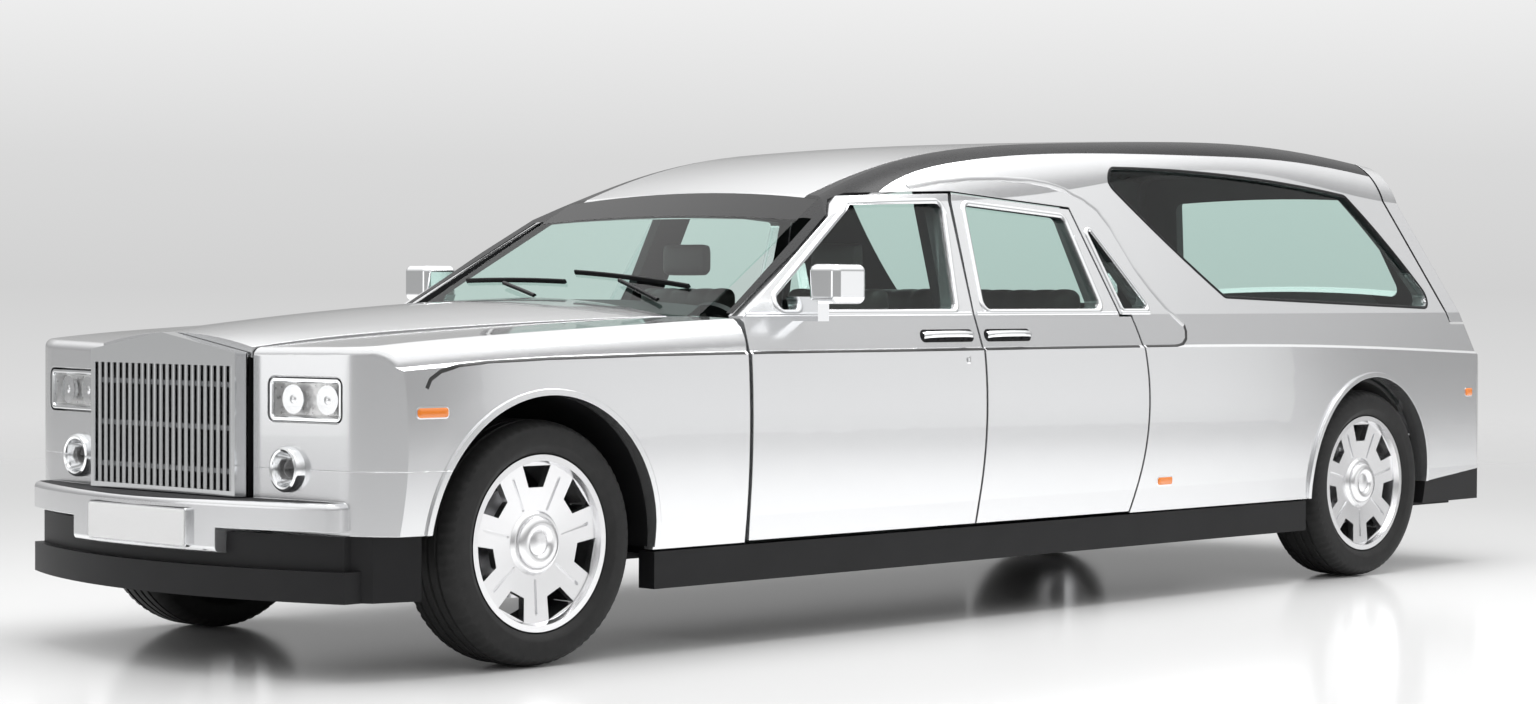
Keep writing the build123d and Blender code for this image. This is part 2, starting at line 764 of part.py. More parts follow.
# Front wings: outer form less an inner form, both cut to the ground plan of the nose
def wing_form(inset):
    """Left wing as a solid, set in by inset from its outer surfaces."""
    with BuildPart() as form:
        for row in WINGS:
            side = row.half - inset
            inner = row.inner_y + inset * 0.4
            foot_z = BODY_BOTTOM - inset
            crease = (side - CREASE_IN, row.crease - inset)
            tuck = (side - TUCK_IN, LOWER_CREASE)
            ledge = (side - LEDGE_IN, row.crease + LEDGE_UP - inset)
            edge = (row.edge_y - inset * 0.3, row.edge_z - inset)
            shoulder_z = (row.crease + row.edge_z) / 2 + WING_SWELL - inset
            shoulder = ((ledge[0] + row.edge_y) / 2 + WING_SWELL, shoulder_z)
            with BuildSketch(Plane.YZ.offset(row.x)):
                with BuildLine():
                    Polyline((inner, foot_z), (side - FOOT_IN, foot_z), tuck)
                    ThreePointArc(tuck, (side + BELLY_OUT, BELLY_Z), crease)
                    Line(crease, ledge)
                    ThreePointArc(ledge, shoulder, edge)
                    Polyline(edge, (inner, row.inner_z - inset), (inner, foot_z))
                make_face()
        loft()
    return form.part


def nose_plan(inset):
    """Ground plan of the left wing with its rounded front corner."""
    face_in = shift(NOSE_IN, -inset)
    face_out = shift(NOSE_OUT, -inset)
    corner = shift(NOSE_CORNER, -inset)
    side = shift(NOSE_SIDE, -inset)
    with BuildPart() as plan:
        with BuildSketch(Plane.XY):
            with BuildLine():
                Polyline(side, (side[0], Y_OUT), (BULKHEAD_BACK, Y_OUT), (BULKHEAD_BACK, NOSE_ROOT),
                         (face_in[0], NOSE_ROOT), face_in, face_out)
                ThreePointArc(face_out, corner, side)
            make_face()
        extrude(amount=Z_OUT)
    return plan.part


def lamp_block(grow, back, front):
    """Rectangular headlamp, square to the nose face, from back behind it to front before it."""
    turn = atan2(NOSE_IN[0] - NOSE_OUT[0], NOSE_OUT[1] - NOSE_IN[1])
    middle = (LAMP_INNER + LAMP_OUTER) / 2
    share = (middle - NOSE_IN[1]) / (NOSE_OUT[1] - NOSE_IN[1])
    face_x = NOSE_IN[0] + share * (NOSE_OUT[0] - NOSE_IN[0])
    face = Plane(origin=(face_x, middle, LAMP_Z), x_dir=(-sin(turn), cos(turn), 0),
                 z_dir=(cos(turn), sin(turn), 0))
    with BuildPart() as block:
        with BuildSketch(face.offset(-back)):
            RectangleRounded(LAMP_OUTER - LAMP_INNER + 2 * grow, LAMP_H + 2 * grow, LAMP_ROUND + grow)
        extrude(amount=back + front)
    return block.part


def spot_barrel(grow, back, front):
    """Round driving lamp pointing forward."""
    face_x = NOSE_IN[0] + (SPOT_Y - NOSE_IN[1]) / (NOSE_OUT[1] - NOSE_IN[1]) * (NOSE_OUT[0] - NOSE_IN[0])
    with BuildPart() as barrel:
        with BuildSketch(Plane.YZ.offset(face_x - back)):
            with Locations((SPOT_Y, SPOT_Z)):
                Circle(SPOT_R + grow)
        extrude(amount=back + front)
    return barrel.part


def liner(grow):
    """Front wheelhouse liner on the left: an arched sheet with an inner wall."""
    top_r = ARCH_FRONT_R + LINER_T + grow
    with BuildPart() as sheet:
        add(round_bar(FRONT_AXLE, TYRE_R, top_r, LINER_IN, LINER_OUT + grow))
        add(round_bar(FRONT_AXLE, TYRE_R, ARCH_FRONT_R, LINER_IN + LINER_T, Y_OUT), mode=Mode.SUBTRACT)
        add(box(FRONT_AXLE, FRONT_END, 0, Y_OUT, -TYRE_R, LINER_FRONT_LOW - grow), mode=Mode.SUBTRACT)
        add(box(0, FRONT_AXLE, 0, Y_OUT, -TYRE_R, LINER_REAR_LOW - grow), mode=Mode.SUBTRACT)
        add(box(FRONT_AXLE - LINER_DOOR_HALF, FRONT_AXLE + LINER_DOOR_HALF, LINER_IN - LINER_T,
                LINER_IN + LINER_T, 0, LINER_DOOR_HIGH), mode=Mode.SUBTRACT)
    return sheet.part


save(both_sides(liner(0)), "wheelhouse_liners")

with BuildPart() as front_lip:
    add(wing_form(-LIP_OUT))
    add(round_ring(FRONT_AXLE, ARCH_FRONT_R, ARCH_FRONT_R + LIP_W, FRONT_LIP_IN, Y_OUT), mode=Mode.INTERSECT)
    add(nose_plan(0), mode=Mode.INTERSECT)

with BuildPart() as wing_solid:
    add(wing_form(0))
    add(nose_plan(0), mode=Mode.INTERSECT)
    front = [edge for edge in wing_solid.edges() if edge.center().X > NOSE_EDGE_X]
    fillet([edge for edge in front if edge.center().Z > NOSE_EDGE_Z], NOSE_EDGE_R)

with BuildPart() as wing_hollow:
    add(wing_form(WING_WALL))
    add(nose_plan(NOSE_WALL), mode=Mode.INTERSECT)

with BuildPart() as nose:
    add(wing_solid.part)
    add(front_lip.part)
    add(wing_hollow.part, mode=Mode.SUBTRACT)
    add(box(BULKHEAD_BACK, WING_ROOM_X, 0, WING_ROOM_HALF, 0, WING_TOP_Z), mode=Mode.SUBTRACT)
    add(box(WING_ROOM_X, SUPPORT_BACK, 0, LAMP_ROOM_HALF, 0, WING_TOP_Z), mode=Mode.SUBTRACT)
    add(box(BULKHEAD_BACK, COWL_FRONT, 0, BULKHEAD_HALF + SEAT_GAP, 0, WAIST_Z), mode=Mode.SUBTRACT)
    add(round_bar(FRONT_AXLE, TYRE_R, ARCH_FRONT_R, NOSE_ROOT, Y_OUT), mode=Mode.SUBTRACT)
    add(liner(SEAT_GAP), mode=Mode.SUBTRACT)
    add(screen_rebate, mode=Mode.SUBTRACT)
    add(lamp_block(LAMP_RIM, LAMP_RECESS, LAMP_HOLE), mode=Mode.SUBTRACT)
    add(lamp_block(SEAT_GAP, LAMP_HOLE, 0), mode=Mode.SUBTRACT)
    add(spot_barrel(SEAT_GAP, LAMP_HOLE, LAMP_HOLE), mode=Mode.SUBTRACT)

with BuildPart() as front_wing:
    add(nose.part)
    add(box(FRONT_AXLE, FRONT_END, 0, Y_OUT, 0, NOSE_SEAM), mode=Mode.SUBTRACT)
save_pair(front_wing.part, "front_wing")

with BuildPart() as lamps:
    add(lamp_block(0, LAMP_DEPTH, -LAMP_SET))
    add(spot_barrel(0, SPOT_DEPTH, SPOT_OUT))
save(both_sides(lamps.part), "headlamps")


# Bonnet
def bonnet_form(drop):
    """Bonnet as a solid under its crowned top, lowered by drop."""
    with BuildPart() as form:
        for row in BONNET:
            edge = (row.edge_y, row.edge_z - drop)
            with BuildSketch(Plane.YZ.offset(row.x)):
                with BuildLine():
                    ThreePointArc(edge, (0, row.crown - drop), mirrored(edge))
                    Polyline(mirrored(edge), (-row.edge_y, BONNET_BASE), (row.edge_y, BONNET_BASE), edge)
                make_face()
        loft()
    return form.part


with BuildPart() as bonnet:
    add(bonnet_form(0))
    add(bonnet_form(BONNET_T), mode=Mode.SUBTRACT)
save(bonnet.part, "bonnet")

# Grille: surround with a shallow pediment and its upright slats
with BuildPart() as grille_surround:
    with BuildSketch(Plane.YZ.offset(GRILLE_BACK)):
        with BuildLine():
            Polyline((-GRILLE_HALF, GRILLE_BOTTOM), (GRILLE_HALF, GRILLE_BOTTOM), (GRILLE_HALF, GRILLE_EAVE),
                     (0, GRILLE_PEAK), (-GRILLE_HALF, GRILLE_EAVE), close=True)
        make_face()
        with Locations((0, (GRILLE_BOTTOM + GRILLE_RIM + GRILLE_HEAD) / 2)):
            Rectangle(2 * (GRILLE_HALF - GRILLE_RIM), GRILLE_HEAD - GRILLE_BOTTOM - GRILLE_RIM,
                      mode=Mode.SUBTRACT)
    extrude(amount=GRILLE_X - GRILLE_BACK)
save(grille_surround.part, "grille_surround")

SLAT_LOW = GRILLE_BOTTOM + GRILLE_RIM
SLAT_PITCH = 2 * (GRILLE_HALF - GRILLE_RIM) / SLATS
SLAT_X = GRILLE_X - SLAT_SET - SLAT_DEPTH / 2
with BuildPart() as grille_slats:
    with BuildSketch(Plane(origin=(SLAT_X, 0, SLAT_LOW))):
        with GridLocations(1, SLAT_PITCH, 1, SLATS):
            RectangleRounded(SLAT_DEPTH, SLAT_W, SLAT_ROUND)
    extrude(amount=GRILLE_HEAD - SLAT_LOW)
    with BuildSketch(Plane.YZ.offset(GRILLE_BACK)):
        for height in (SLAT_LOW + SLAT_BAR_END, (SLAT_LOW + GRILLE_HEAD) / 2, GRILLE_HEAD - SLAT_BAR_END):
            with Locations((0, height)):
                Rectangle(2 * (GRILLE_HALF - GRILLE_RIM), SLAT_BAR)
    extrude(amount=SLAT_X - GRILLE_BACK)
save(grille_slats.part, "grille_slats")


# Front bumper: nose covers under the wings, joined by a bowed bar with two intakes
def bowed_plan(front, end_x, half):
    """Points of a bow across the nose: right end, middle, left end."""
    return (end_x, -half), (front, 0), (end_x, half)


def bar_solid():
    """Bowed bar, rounded at its ends and along its front edges."""
    right, middle, left = bowed_plan(FRONT_END, BAR_END_X, BAR_HALF)
    seat_x = BAR_SEAT + SEAT_GAP
    front_x = BAR_END_X - BAR_CORNER_R
    with BuildPart() as bar:
        with BuildSketch(Plane.XY.offset(BAR_LOW)) as plan:
            with BuildLine():
                ThreePointArc(right, middle, left)
                Polyline(left, (BAR_BACK, BAR_HALF), (BAR_BACK, BAR_SEAT_HALF), (seat_x, BAR_SEAT_HALF),
                         (seat_x, -BAR_SEAT_HALF), (BAR_BACK, -BAR_SEAT_HALF), (BAR_BACK, -BAR_HALF), right)
            make_face()
            fillet([corner for corner in plan.vertices() if corner.X > front_x], BAR_CORNER_R)
        extrude(amount=BAR_HIGH - BAR_LOW)
        fillet([edge for edge in bar.edges().filter_by(Plane.XY) if edge.center().X > front_x], BAR_EDGE_R)
    return bar.part


with BuildPart() as nose_cover:
    add(nose.part)
    add(box(FRONT_AXLE, FRONT_END, 0, Y_OUT, COVER_LOW, NOSE_SEAM - SEAT_GAP), mode=Mode.INTERSECT)

with BuildPart() as front_bumper:
    add(bar_solid())
    for turn in (1, -1):
        add(box(BAR_BACK - LID_GAP, FRONT_END, turn * INTAKE_IN, turn * Y_OUT, 0, INTAKE_TOP),
            mode=Mode.SUBTRACT)
    add(both_sides(nose_cover.part))
save(front_bumper.part, "front_bumper")


# Black front valance: lower lip, the back of the intakes and the corner skirts
def bow_band(front, end_x, half, thick, low, high):
    """Band that follows the bow of the bumper."""
    right, middle, left = bowed_plan(front, end_x, half)
    inner_right, inner_middle, inner_left = bowed_plan(front - thick, end_x - thick, half)
    with BuildPart() as band:
        with BuildSketch(Plane.XY.offset(low)):
            with BuildLine():
                ThreePointArc(right, middle, left)
                Line(left, inner_left)
                ThreePointArc(inner_left, inner_middle, inner_right)
                Line(inner_right, right)
            make_face()
        extrude(amount=high - low)
    return band.part


def corner_skirt():
    """Skirt on the left from the lip back to the wheel arch."""
    with BuildPart() as skirt:
        with BuildSketch(Plane.XY.offset(LIP_LOW)):
            with BuildLine():
                Polyline(*CORNER_SKIRT, close=True)
            make_face()
        extrude(amount=COVER_LOW - SEAT_GAP - LIP_LOW)
        add(round_bar(FRONT_AXLE, TYRE_R, ARCH_FRONT_R, 0, Y_OUT), mode=Mode.SUBTRACT)
    return skirt.part


with BuildPart() as intake_back:
    add(bow_band(FRONT_END - INTAKE_SET, BAR_END_X - INTAKE_SET, BAR_HALF, LIP_T, LIP_TOP,
                 COVER_LOW - SEAT_GAP))
    add(box(BAR_BACK - OUTSIDE, FRONT_END, -INTAKE_IN - SEAT_GAP, INTAKE_IN + SEAT_GAP,
            BAR_LOW - SEAT_GAP, Z_OUT), mode=Mode.SUBTRACT)

with BuildPart() as front_valance:
    add(bow_band(LIP_FRONT, LIP_END_X, LIP_HALF_Y, 2 * LIP_T, LIP_LOW, LIP_TOP))
    add(intake_back.part)
    add(both_sides(corner_skirt()))
save(front_valance.part, "front_valance")

# Sills and rear bumper, black
with BuildPart() as sill:
    add(box(REAR_AXLE + ARCH_REAR_R + SKIRT_GAP, FRONT_AXLE - ARCH_FRONT_R - SKIRT_GAP,
            SKIRT_OUT - SKIRT_T, SKIRT_OUT, SKIRT_LOW, SKIRT_HIGH))
save(both_sides(sill.part), "sills")

with BuildPart() as bumper_zone:
    add(side_prism(TAIL_SKIRT, -Y_OUT, Y_OUT, -SEAT_GAP))
    add(box(REAR_END - LID_GAP, REAR_END + TAIL_REACH, -TAILGATE_HALF - LID_GAP + SEAT_GAP,
            TAILGATE_HALF + LID_GAP - SEAT_GAP, 0, TAILGATE_LOW - LID_GAP))
with BuildPart() as rear_bumper:
    add(shell.part)
    add(bumper_zone.part, mode=Mode.INTERSECT)
    add(rear_arch, mode=Mode.SUBTRACT)
save(rear_bumper.part, "rear_bumper")

# Tail lamps: upright lenses on the rear corners
TAIL_LAMP_Y = 735
TAIL_LAMP_HALF = 45
TAIL_LAMP_T = 8
TAIL_LAMP_LOW = 660
TAIL_LAMP_HIGH = 940
with BuildPart() as tail_lamp:
    add(rear_plan(-TAIL_LAMP_T))
    add(rear_plan(-SEAT_GAP), mode=Mode.SUBTRACT)
    add(box(REAR_END - TAIL_REACH, REAR_END + TAIL_REACH, TAIL_LAMP_Y - TAIL_LAMP_HALF,
            TAIL_LAMP_Y + TAIL_LAMP_HALF, TAIL_LAMP_LOW, TAIL_LAMP_HIGH), mode=Mode.INTERSECT)
save(both_sides(tail_lamp.part), "tail_lamps")

# Floor: one sheet, narrow between the wheels
REAR_WELL = ARCH_REAR_R + 25
SILL_IN = SKIRT_OUT - SKIRT_T
FloorStrip = namedtuple("FloorStrip", "rear front half")
FLOOR = [
    FloorStrip(REAR_END + 170, REAR_AXLE - REAR_WELL, 780),
    FloorStrip(REAR_AXLE - REAR_WELL, REAR_AXLE + REAR_WELL, 560),
    FloorStrip(REAR_AXLE + REAR_WELL, BULKHEAD_BACK, SILL_IN),
    FloorStrip(BULKHEAD_BACK, BAR_SEAT, 420),
]
with BuildPart() as floor_pan:
    for strip in FLOOR:
        add(box(strip.rear, strip.front, -strip.half, strip.half, FLOOR_Z, FLOOR_TOP))
save(floor_pan.part, "floor_pan")

with BuildPart() as bulkhead:
    add(box(BULKHEAD_BACK, BULKHEAD_FRONT, -BULKHEAD_HALF, BULKHEAD_HALF, FLOOR_TOP, BULKHEAD_TOP))
    add(box(BULKHEAD_BACK, COWL_FRONT, -COWL_HALF, COWL_HALF, COWL_LOW, COWL_HIGH))
    add(slope_layer(SCREEN_ACROSS, SCREEN_CURVE_R, -OUTSIDE, SCREEN_T + SEAT_GAP), mode=Mode.SUBTRACT)
save(bulkhead.part, "bulkhead")

with BuildPart() as radiator_support:
    add(box(SUPPORT_BACK, SUPPORT_FRONT, -SUPPORT_HALF, SUPPORT_HALF, FLOOR_TOP, GRILLE_PEAK))
    add(bonnet_form(BONNET_T + SEAT_GAP), mode=Mode.INTERSECT)
    add(box(SUPPORT_BACK, BAR_SEAT, -SUPPORT_HALF, SUPPORT_HALF, FLOOR_TOP, SUPPORT_TOP))
    add(box(BAR_SEAT, GRILLE_BACK, -SUPPORT_HALF, SUPPORT_HALF, GRILLE_BOTTOM, SUPPORT_TOP))
save(radiator_support.part, "radiator_support")

# Centre posts, load deck and partition fill the room inside the walls
with BuildPart() as cabin_room:
    add(cabin_form(DOOR_WALL + SEAT_GAP, FRAME_WALL + SEAT_GAP, FLOOR_TOP))
    add(rear_plan(TAIL_WALL + SEAT_GAP), mode=Mode.INTERSECT)
    add(slope_layer(TAIL_ACROSS, -TAIL_CURVE_R, -TAIL_WALL - SEAT_GAP, OUTSIDE), mode=Mode.SUBTRACT)

with BuildPart() as centre_post:
    add(cabin_room.part)
    add(cabin_form(DOOR_WALL + POST_T, FRAME_WALL + POST_T, FLOOR_Z, CABIN[1:4]), mode=Mode.SUBTRACT)
    add(side_prism(POST, WINDOW_IN, Y_OUT), mode=Mode.INTERSECT)
    add(box(REAR_AXLE, FRONT_AXLE, SILL_IN, Y_OUT, 0, SKIRT_HIGH), mode=Mode.SUBTRACT)
save(both_sides(centre_post.part), "centre_posts")


def wheel_well(radius, inner, outer):
    """Left rear wheel well above the deck's underside."""
    with BuildPart() as well:
        add(round_bar(REAR_AXLE, TYRE_R, radius, inner, outer))
        add(box(REAR_AXLE - WELL_R, REAR_AXLE + WELL_R, inner, outer, DECK_Z - DECK_T, WAIST_Z),
            mode=Mode.INTERSECT)
    return well.part


with BuildPart() as wells:
    add(both_sides(wheel_well(WELL_R, WELL_IN, WELL_OUT)))
    add(cabin_room.part, mode=Mode.INTERSECT)

with BuildPart() as load_deck:
    add(cabin_room.part)
    add(box(REAR_END, PARTITION_X - PARTITION_T, -Y_OUT, Y_OUT, DECK_Z - DECK_T, DECK_Z), mode=Mode.INTERSECT)
    add(wells.part)
    add(both_sides(wheel_well(WELL_R - WELL_T, WELL_IN + WELL_T, Y_OUT)), mode=Mode.SUBTRACT)
save(load_deck.part, "load_deck")

with BuildPart() as partition:
    add(cabin_room.part)
    add(box(PARTITION_X - PARTITION_T, PARTITION_X, -Y_OUT, Y_OUT, FLOOR_TOP, WAIST_Z), mode=Mode.INTERSECT)
    for turn in (1, -1):
        add(box(REAR_AXLE, FRONT_AXLE, turn * SILL_IN, turn * Y_OUT, 0, SKIRT_HIGH), mode=Mode.SUBTRACT)
save(partition.part, "partition")

# Cabin fittings
DASH_HALF = 770
DASH_BACK = 1200
DASH_LOW = 800
DASH_HIGH = 1080
DASH_R = 20
with BuildPart() as dashboard:
    add(soft_box(DASH_BACK, BULKHEAD_BACK, -DASH_HALF, DASH_HALF, DASH_LOW, DASH_HIGH, DASH_R))
save(dashboard.part, "dashboard")

Cushion = namedtuple("Cushion", "rear front half low high radius")
FRONT_SEAT = [
    Cushion(480, 1000, 265, FLOOR_TOP, SEAT_TOP, 40),
    Cushion(400, 540, 265, SEAT_TOP, BACK_TOP, 40),
    Cushion(430, 520, 140, BACK_TOP, HEADREST_TOP, 30),
]
REAR_SEAT = [
    Cushion(-600, -60, BENCH_HALF, FLOOR_TOP, SEAT_TOP, 40),
    Cushion(PARTITION_X, -520, BENCH_HALF, SEAT_TOP, BACK_TOP, 40),
]


def seat(rows, middle):
    """Seat of plain cushions about one line along the car."""
    with BuildPart() as cushions:
        for row in rows:
            add(soft_box(row.rear, row.front, middle - row.half, middle + row.half, row.low, row.high,
                         row.radius))
    return cushions.part


save(both_sides(seat(FRONT_SEAT, SEAT_Y)), "front_seats")
save(seat(REAR_SEAT, 0), "rear_seat")

HAND_TILT = radians(25)
HAND_PLANE = Plane(origin=(1075, SEAT_Y, 985), x_dir=(0, 1, 0), z_dir=(-cos(HAND_TILT), 0, sin(HAND_TILT)))
HAND_R = 190
HAND_IN = 158
HAND_HALF_T = 12
HAND_HUB_R = 62
HAND_SPOKES = 3
HAND_SPOKE_R = 110
HAND_SPOKE_L = 140
HAND_SPOKE_W = 36
COLUMN_R = 34
COLUMN_L = 160
with BuildPart() as steering_wheel:
    with BuildSketch(HAND_PLANE):
        Circle(HAND_R)
        Circle(HAND_IN, mode=Mode.SUBTRACT)
        Circle(HAND_HUB_R)
        with PolarLocations(HAND_SPOKE_R, HAND_SPOKES, start_angle=30):
            Rectangle(HAND_SPOKE_L, HAND_SPOKE_W)
    extrude(amount=HAND_HALF_T, both=True)
    with BuildSketch(HAND_PLANE.offset(-HAND_HALF_T)):
        Circle(COLUMN_R)
    extrude(amount=-COLUMN_L)
    add(dashboard.part, mode=Mode.SUBTRACT)
save(steering_wheel.part, "steering_wheel")

# Engine: one plain block for its mass
ENGINE_REAR = 1700
ENGINE_FRONT = 2720
ENGINE_HALF = 330
ENGINE_TOP = 880
save(box(ENGINE_REAR, ENGINE_FRONT, -ENGINE_HALF, ENGINE_HALF, FLOOR_TOP, ENGINE_TOP), "engine")

# Door mirrors: a rounded housing on a foot that stands on the door
Block = namedtuple("Block", "x0 x1 y0 y1 z0 z1")
MIRROR_HOUSING = Block(1130, 1290, 1012, 1150, 1160, 1296)
MIRROR_FOOT = Block(1230, 1286, 880, 1060, 1100, 1184)
MIRROR_R = 26
with BuildPart() as mirror_housing:
    add(box(*MIRROR_HOUSING))
    fillet(mirror_housing.edges(), MIRROR_R)
with BuildPart() as door_mirror:
    add(mirror_housing.part)
    add(box(*MIRROR_FOOT))
    add(cabin_outer.part, mode=Mode.SUBTRACT)
save_pair(door_mirror.part, "mirror")


# Wheels and tyres
def axle_line(x):
    """Turning line of a wheel."""
    return Axis((x, 0, TYRE_R), (0, 1, 0))


def wheel_section(x):
    """Plane of a wheel's half-section: across the car and up from the wheel's middle."""
    return Plane(origin=(x, WHEEL_Y, TYRE_R), x_dir=(0, 1, 0), z_dir=(1, 0, 0))


def wheel_face(x, step):
    """Plane of a wheel's outer side, moved outwards by step."""
    return Plane(origin=(x, WHEEL_Y + step, TYRE_R), x_dir=(-1, 0, 0), z_dir=(0, 1, 0))


def tyre(x):
    """Low-profile tyre on the left at one axle."""
    half = TYRE_W / 2
    bulge = (half, TYRE_BULGE_R)
    shoulder = (half - SHOULDER_IN, SHOULDER_R)
    edge = (half - TREAD_IN, TYRE_R - TREAD_DROP)
    flank = (half - FLANK_IN, FLANK_R)
    bead = (BEAD_HALF, RIM_R + BEAD_UP)
    seat = (BEAD_HALF, RIM_R - RIM_T)
    with BuildPart() as ring:
        with BuildSketch(wheel_section(x)):
            with BuildLine():
                Polyline(bulge, flank, bead, seat, mirrored(seat), mirrored(bead), mirrored(flank),
                         mirrored(bulge))
                ThreePointArc(mirrored(bulge), mirrored(shoulder), mirrored(edge))
                ThreePointArc(mirrored(edge), (0, TYRE_R), edge)
                ThreePointArc(edge, shoulder, bulge)
            make_face()
        revolve(axis=axle_line(x))
    return ring.part


def wheel(x):
    """Seven-spoke wheel on the left at one axle, with its brake disc."""
    seat = RIM_R - RIM_T - SEAT_GAP
    bead = BEAD_HALF + SEAT_GAP
    back = DISC_Y - DISC_T
    with BuildPart() as rim:
        with BuildSketch(wheel_section(x)):
            with BuildLine():
                Polyline((-LIP_HALF, RIM_R), (-bead, RIM_R), (-bead, seat), (bead, seat), (bead, RIM_R),
                         (LIP_HALF, RIM_R), (LIP_HALF, RIM_R - 20), (DISC_Y + 8, RIM_R - 28),
                         (DISC_Y, HUB_R + 10), (DISC_Y + 10, HUB_R), (DISC_Y + 16, 0), (HUB_BACK, 0),
                         (HUB_BACK, HUB_BACK_R), (back - 20, HUB_BACK_R), (back, HUB_R + 20),
                         (back + 8, RIM_R - 32), (-LIP_HALF, RIM_R - 28), close=True)
            make_face()
        revolve(axis=axle_line(x))
        with BuildSketch(wheel_face(x, 0)):
            with PolarLocations(0, SPOKES, start_angle=90):
                Polygon(*WINDOW_RING, align=None)
        extrude(amount=LIP_HALF, mode=Mode.SUBTRACT)
        with BuildSketch(wheel_face(x, DISC_Y - GROOVE_DEEP)):
            with PolarLocations((GROOVE_FROM + GROOVE_TO) / 2, SPOKES, start_angle=90 + 180 / SPOKES):
                SlotOverall(GROOVE_TO - GROOVE_FROM, GROOVE_W)
        extrude(amount=LIP_HALF, mode=Mode.SUBTRACT)
        with BuildSketch(wheel_face(x, STUB_FROM)):
            Circle(STUB_R + SEAT_GAP)
        extrude(amount=STUB_HOLE, mode=Mode.SUBTRACT)
        with BuildSketch(wheel_face(x, BRAKE_Y)):
            Circle(BRAKE_R)
            Circle(HUB_BACK_R - 1, mode=Mode.SUBTRACT)
        extrude(amount=BRAKE_T)
    return rim.part


for place, x in (("front", FRONT_AXLE), ("rear", REAR_AXLE)):
    save_pair(tyre(x), f"{place}_tyre")
    save_pair(wheel(x), f"{place}_wheel")

# Steering knuckles, arms and rear axle
UPRIGHT_IN = 40
UPRIGHT_OUT = 35
UPRIGHT_R = 20
ARM_ROOT_HALF = 160
ARM_TIP_HALF = 45
ARM_TIP = 20
CRADLE_DROP = 20
CASE_X = 190
CASE_Y = 180
CASE_TOP = 520
CASE_R = 40
with BuildPart() as knuckle:
    add(round_bar(FRONT_AXLE, TYRE_R, STUB_R, KINGPIN_Y - UPRIGHT_IN, WHEEL_Y + STUB_END))
    add(soft_box(FRONT_AXLE - UPRIGHT_IN, FRONT_AXLE + UPRIGHT_IN, KINGPIN_Y - UPRIGHT_IN,
                 KINGPIN_Y + UPRIGHT_OUT, ARM_Z + ARM_T, UPPER_ARM_Z, UPRIGHT_R))
save_pair(knuckle.part, "knuckle")

TOWER_IN = 340
TOWER_OUT = 410
TOWER_HALF = 170
ARM_PLAN = [(FRONT_AXLE - ARM_ROOT_HALF, TOWER_IN), (FRONT_AXLE + ARM_ROOT_HALF, TOWER_IN),
            (FRONT_AXLE + ARM_TIP_HALF, KINGPIN_Y + ARM_TIP),
            (FRONT_AXLE - ARM_TIP_HALF, KINGPIN_Y + ARM_TIP)]


def arm(z):
    """Left front suspension arm at one height."""
    with BuildPart() as blade:
        with BuildSketch(Plane.XY.offset(z)):
            with BuildLine():
                Polyline(*ARM_PLAN, close=True)
            make_face()
        extrude(amount=ARM_T)
    return blade.part


with BuildPart() as front_axle:
    for height in (ARM_Z, UPPER_ARM_Z):
        add(both_sides(arm(height)))
    add(both_sides(box(FRONT_AXLE - TOWER_HALF, FRONT_AXLE + TOWER_HALF, TOWER_IN, TOWER_OUT, FLOOR_TOP,
                       UPPER_ARM_Z + ARM_T)))
    add(box(FRONT_AXLE - TOWER_HALF, FRONT_AXLE + TOWER_HALF, -TOWER_OUT, TOWER_OUT, ARM_Z - CRADLE_DROP,
            FLOOR_Z))
save(front_axle.part, "front_axle")

with BuildPart() as rear_axle:
    add(round_bar(REAR_AXLE, TYRE_R, STUB_R, -WHEEL_Y - STUB_END, WHEEL_Y + STUB_END))
    add(soft_box(REAR_AXLE - CASE_X, REAR_AXLE + CASE_X, -CASE_Y, CASE_Y, FLOOR_TOP, CASE_TOP, CASE_R))
save(rear_axle.part, "rear_axle")
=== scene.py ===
import json
from math import atan2, ceil, cos, hypot, pi, radians, sin

import bmesh
import bpy
from bpy.props import FloatProperty, FloatVectorProperty, IntProperty, PointerProperty
from mathutils import Matrix, Vector
from mathutils.bvhtree import BVHTree


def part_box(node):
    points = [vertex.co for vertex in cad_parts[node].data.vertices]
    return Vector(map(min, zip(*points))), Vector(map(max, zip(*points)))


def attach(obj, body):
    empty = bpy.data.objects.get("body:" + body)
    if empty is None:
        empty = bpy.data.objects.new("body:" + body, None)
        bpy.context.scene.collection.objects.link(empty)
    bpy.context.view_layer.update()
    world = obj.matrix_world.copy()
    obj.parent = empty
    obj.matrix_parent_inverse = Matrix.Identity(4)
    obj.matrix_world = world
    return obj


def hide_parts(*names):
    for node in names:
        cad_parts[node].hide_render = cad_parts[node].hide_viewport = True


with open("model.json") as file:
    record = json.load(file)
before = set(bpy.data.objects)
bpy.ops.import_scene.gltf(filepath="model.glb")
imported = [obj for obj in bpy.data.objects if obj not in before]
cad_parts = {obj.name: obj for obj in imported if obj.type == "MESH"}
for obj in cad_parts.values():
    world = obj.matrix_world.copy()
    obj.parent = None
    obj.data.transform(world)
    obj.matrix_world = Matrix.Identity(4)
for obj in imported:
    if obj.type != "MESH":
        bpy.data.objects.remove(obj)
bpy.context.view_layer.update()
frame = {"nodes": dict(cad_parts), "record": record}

bl_info = {
    "name": "Silver Hearse",
    "version": (1, 0, 0),
    "blender": (4, 5, 0),
    "location": "View3D > Sidebar > Hearse",
    "description": "Dresses the packed hearse with paint, glass, brightwork, seats and a studio",
    "category": "Object",
}

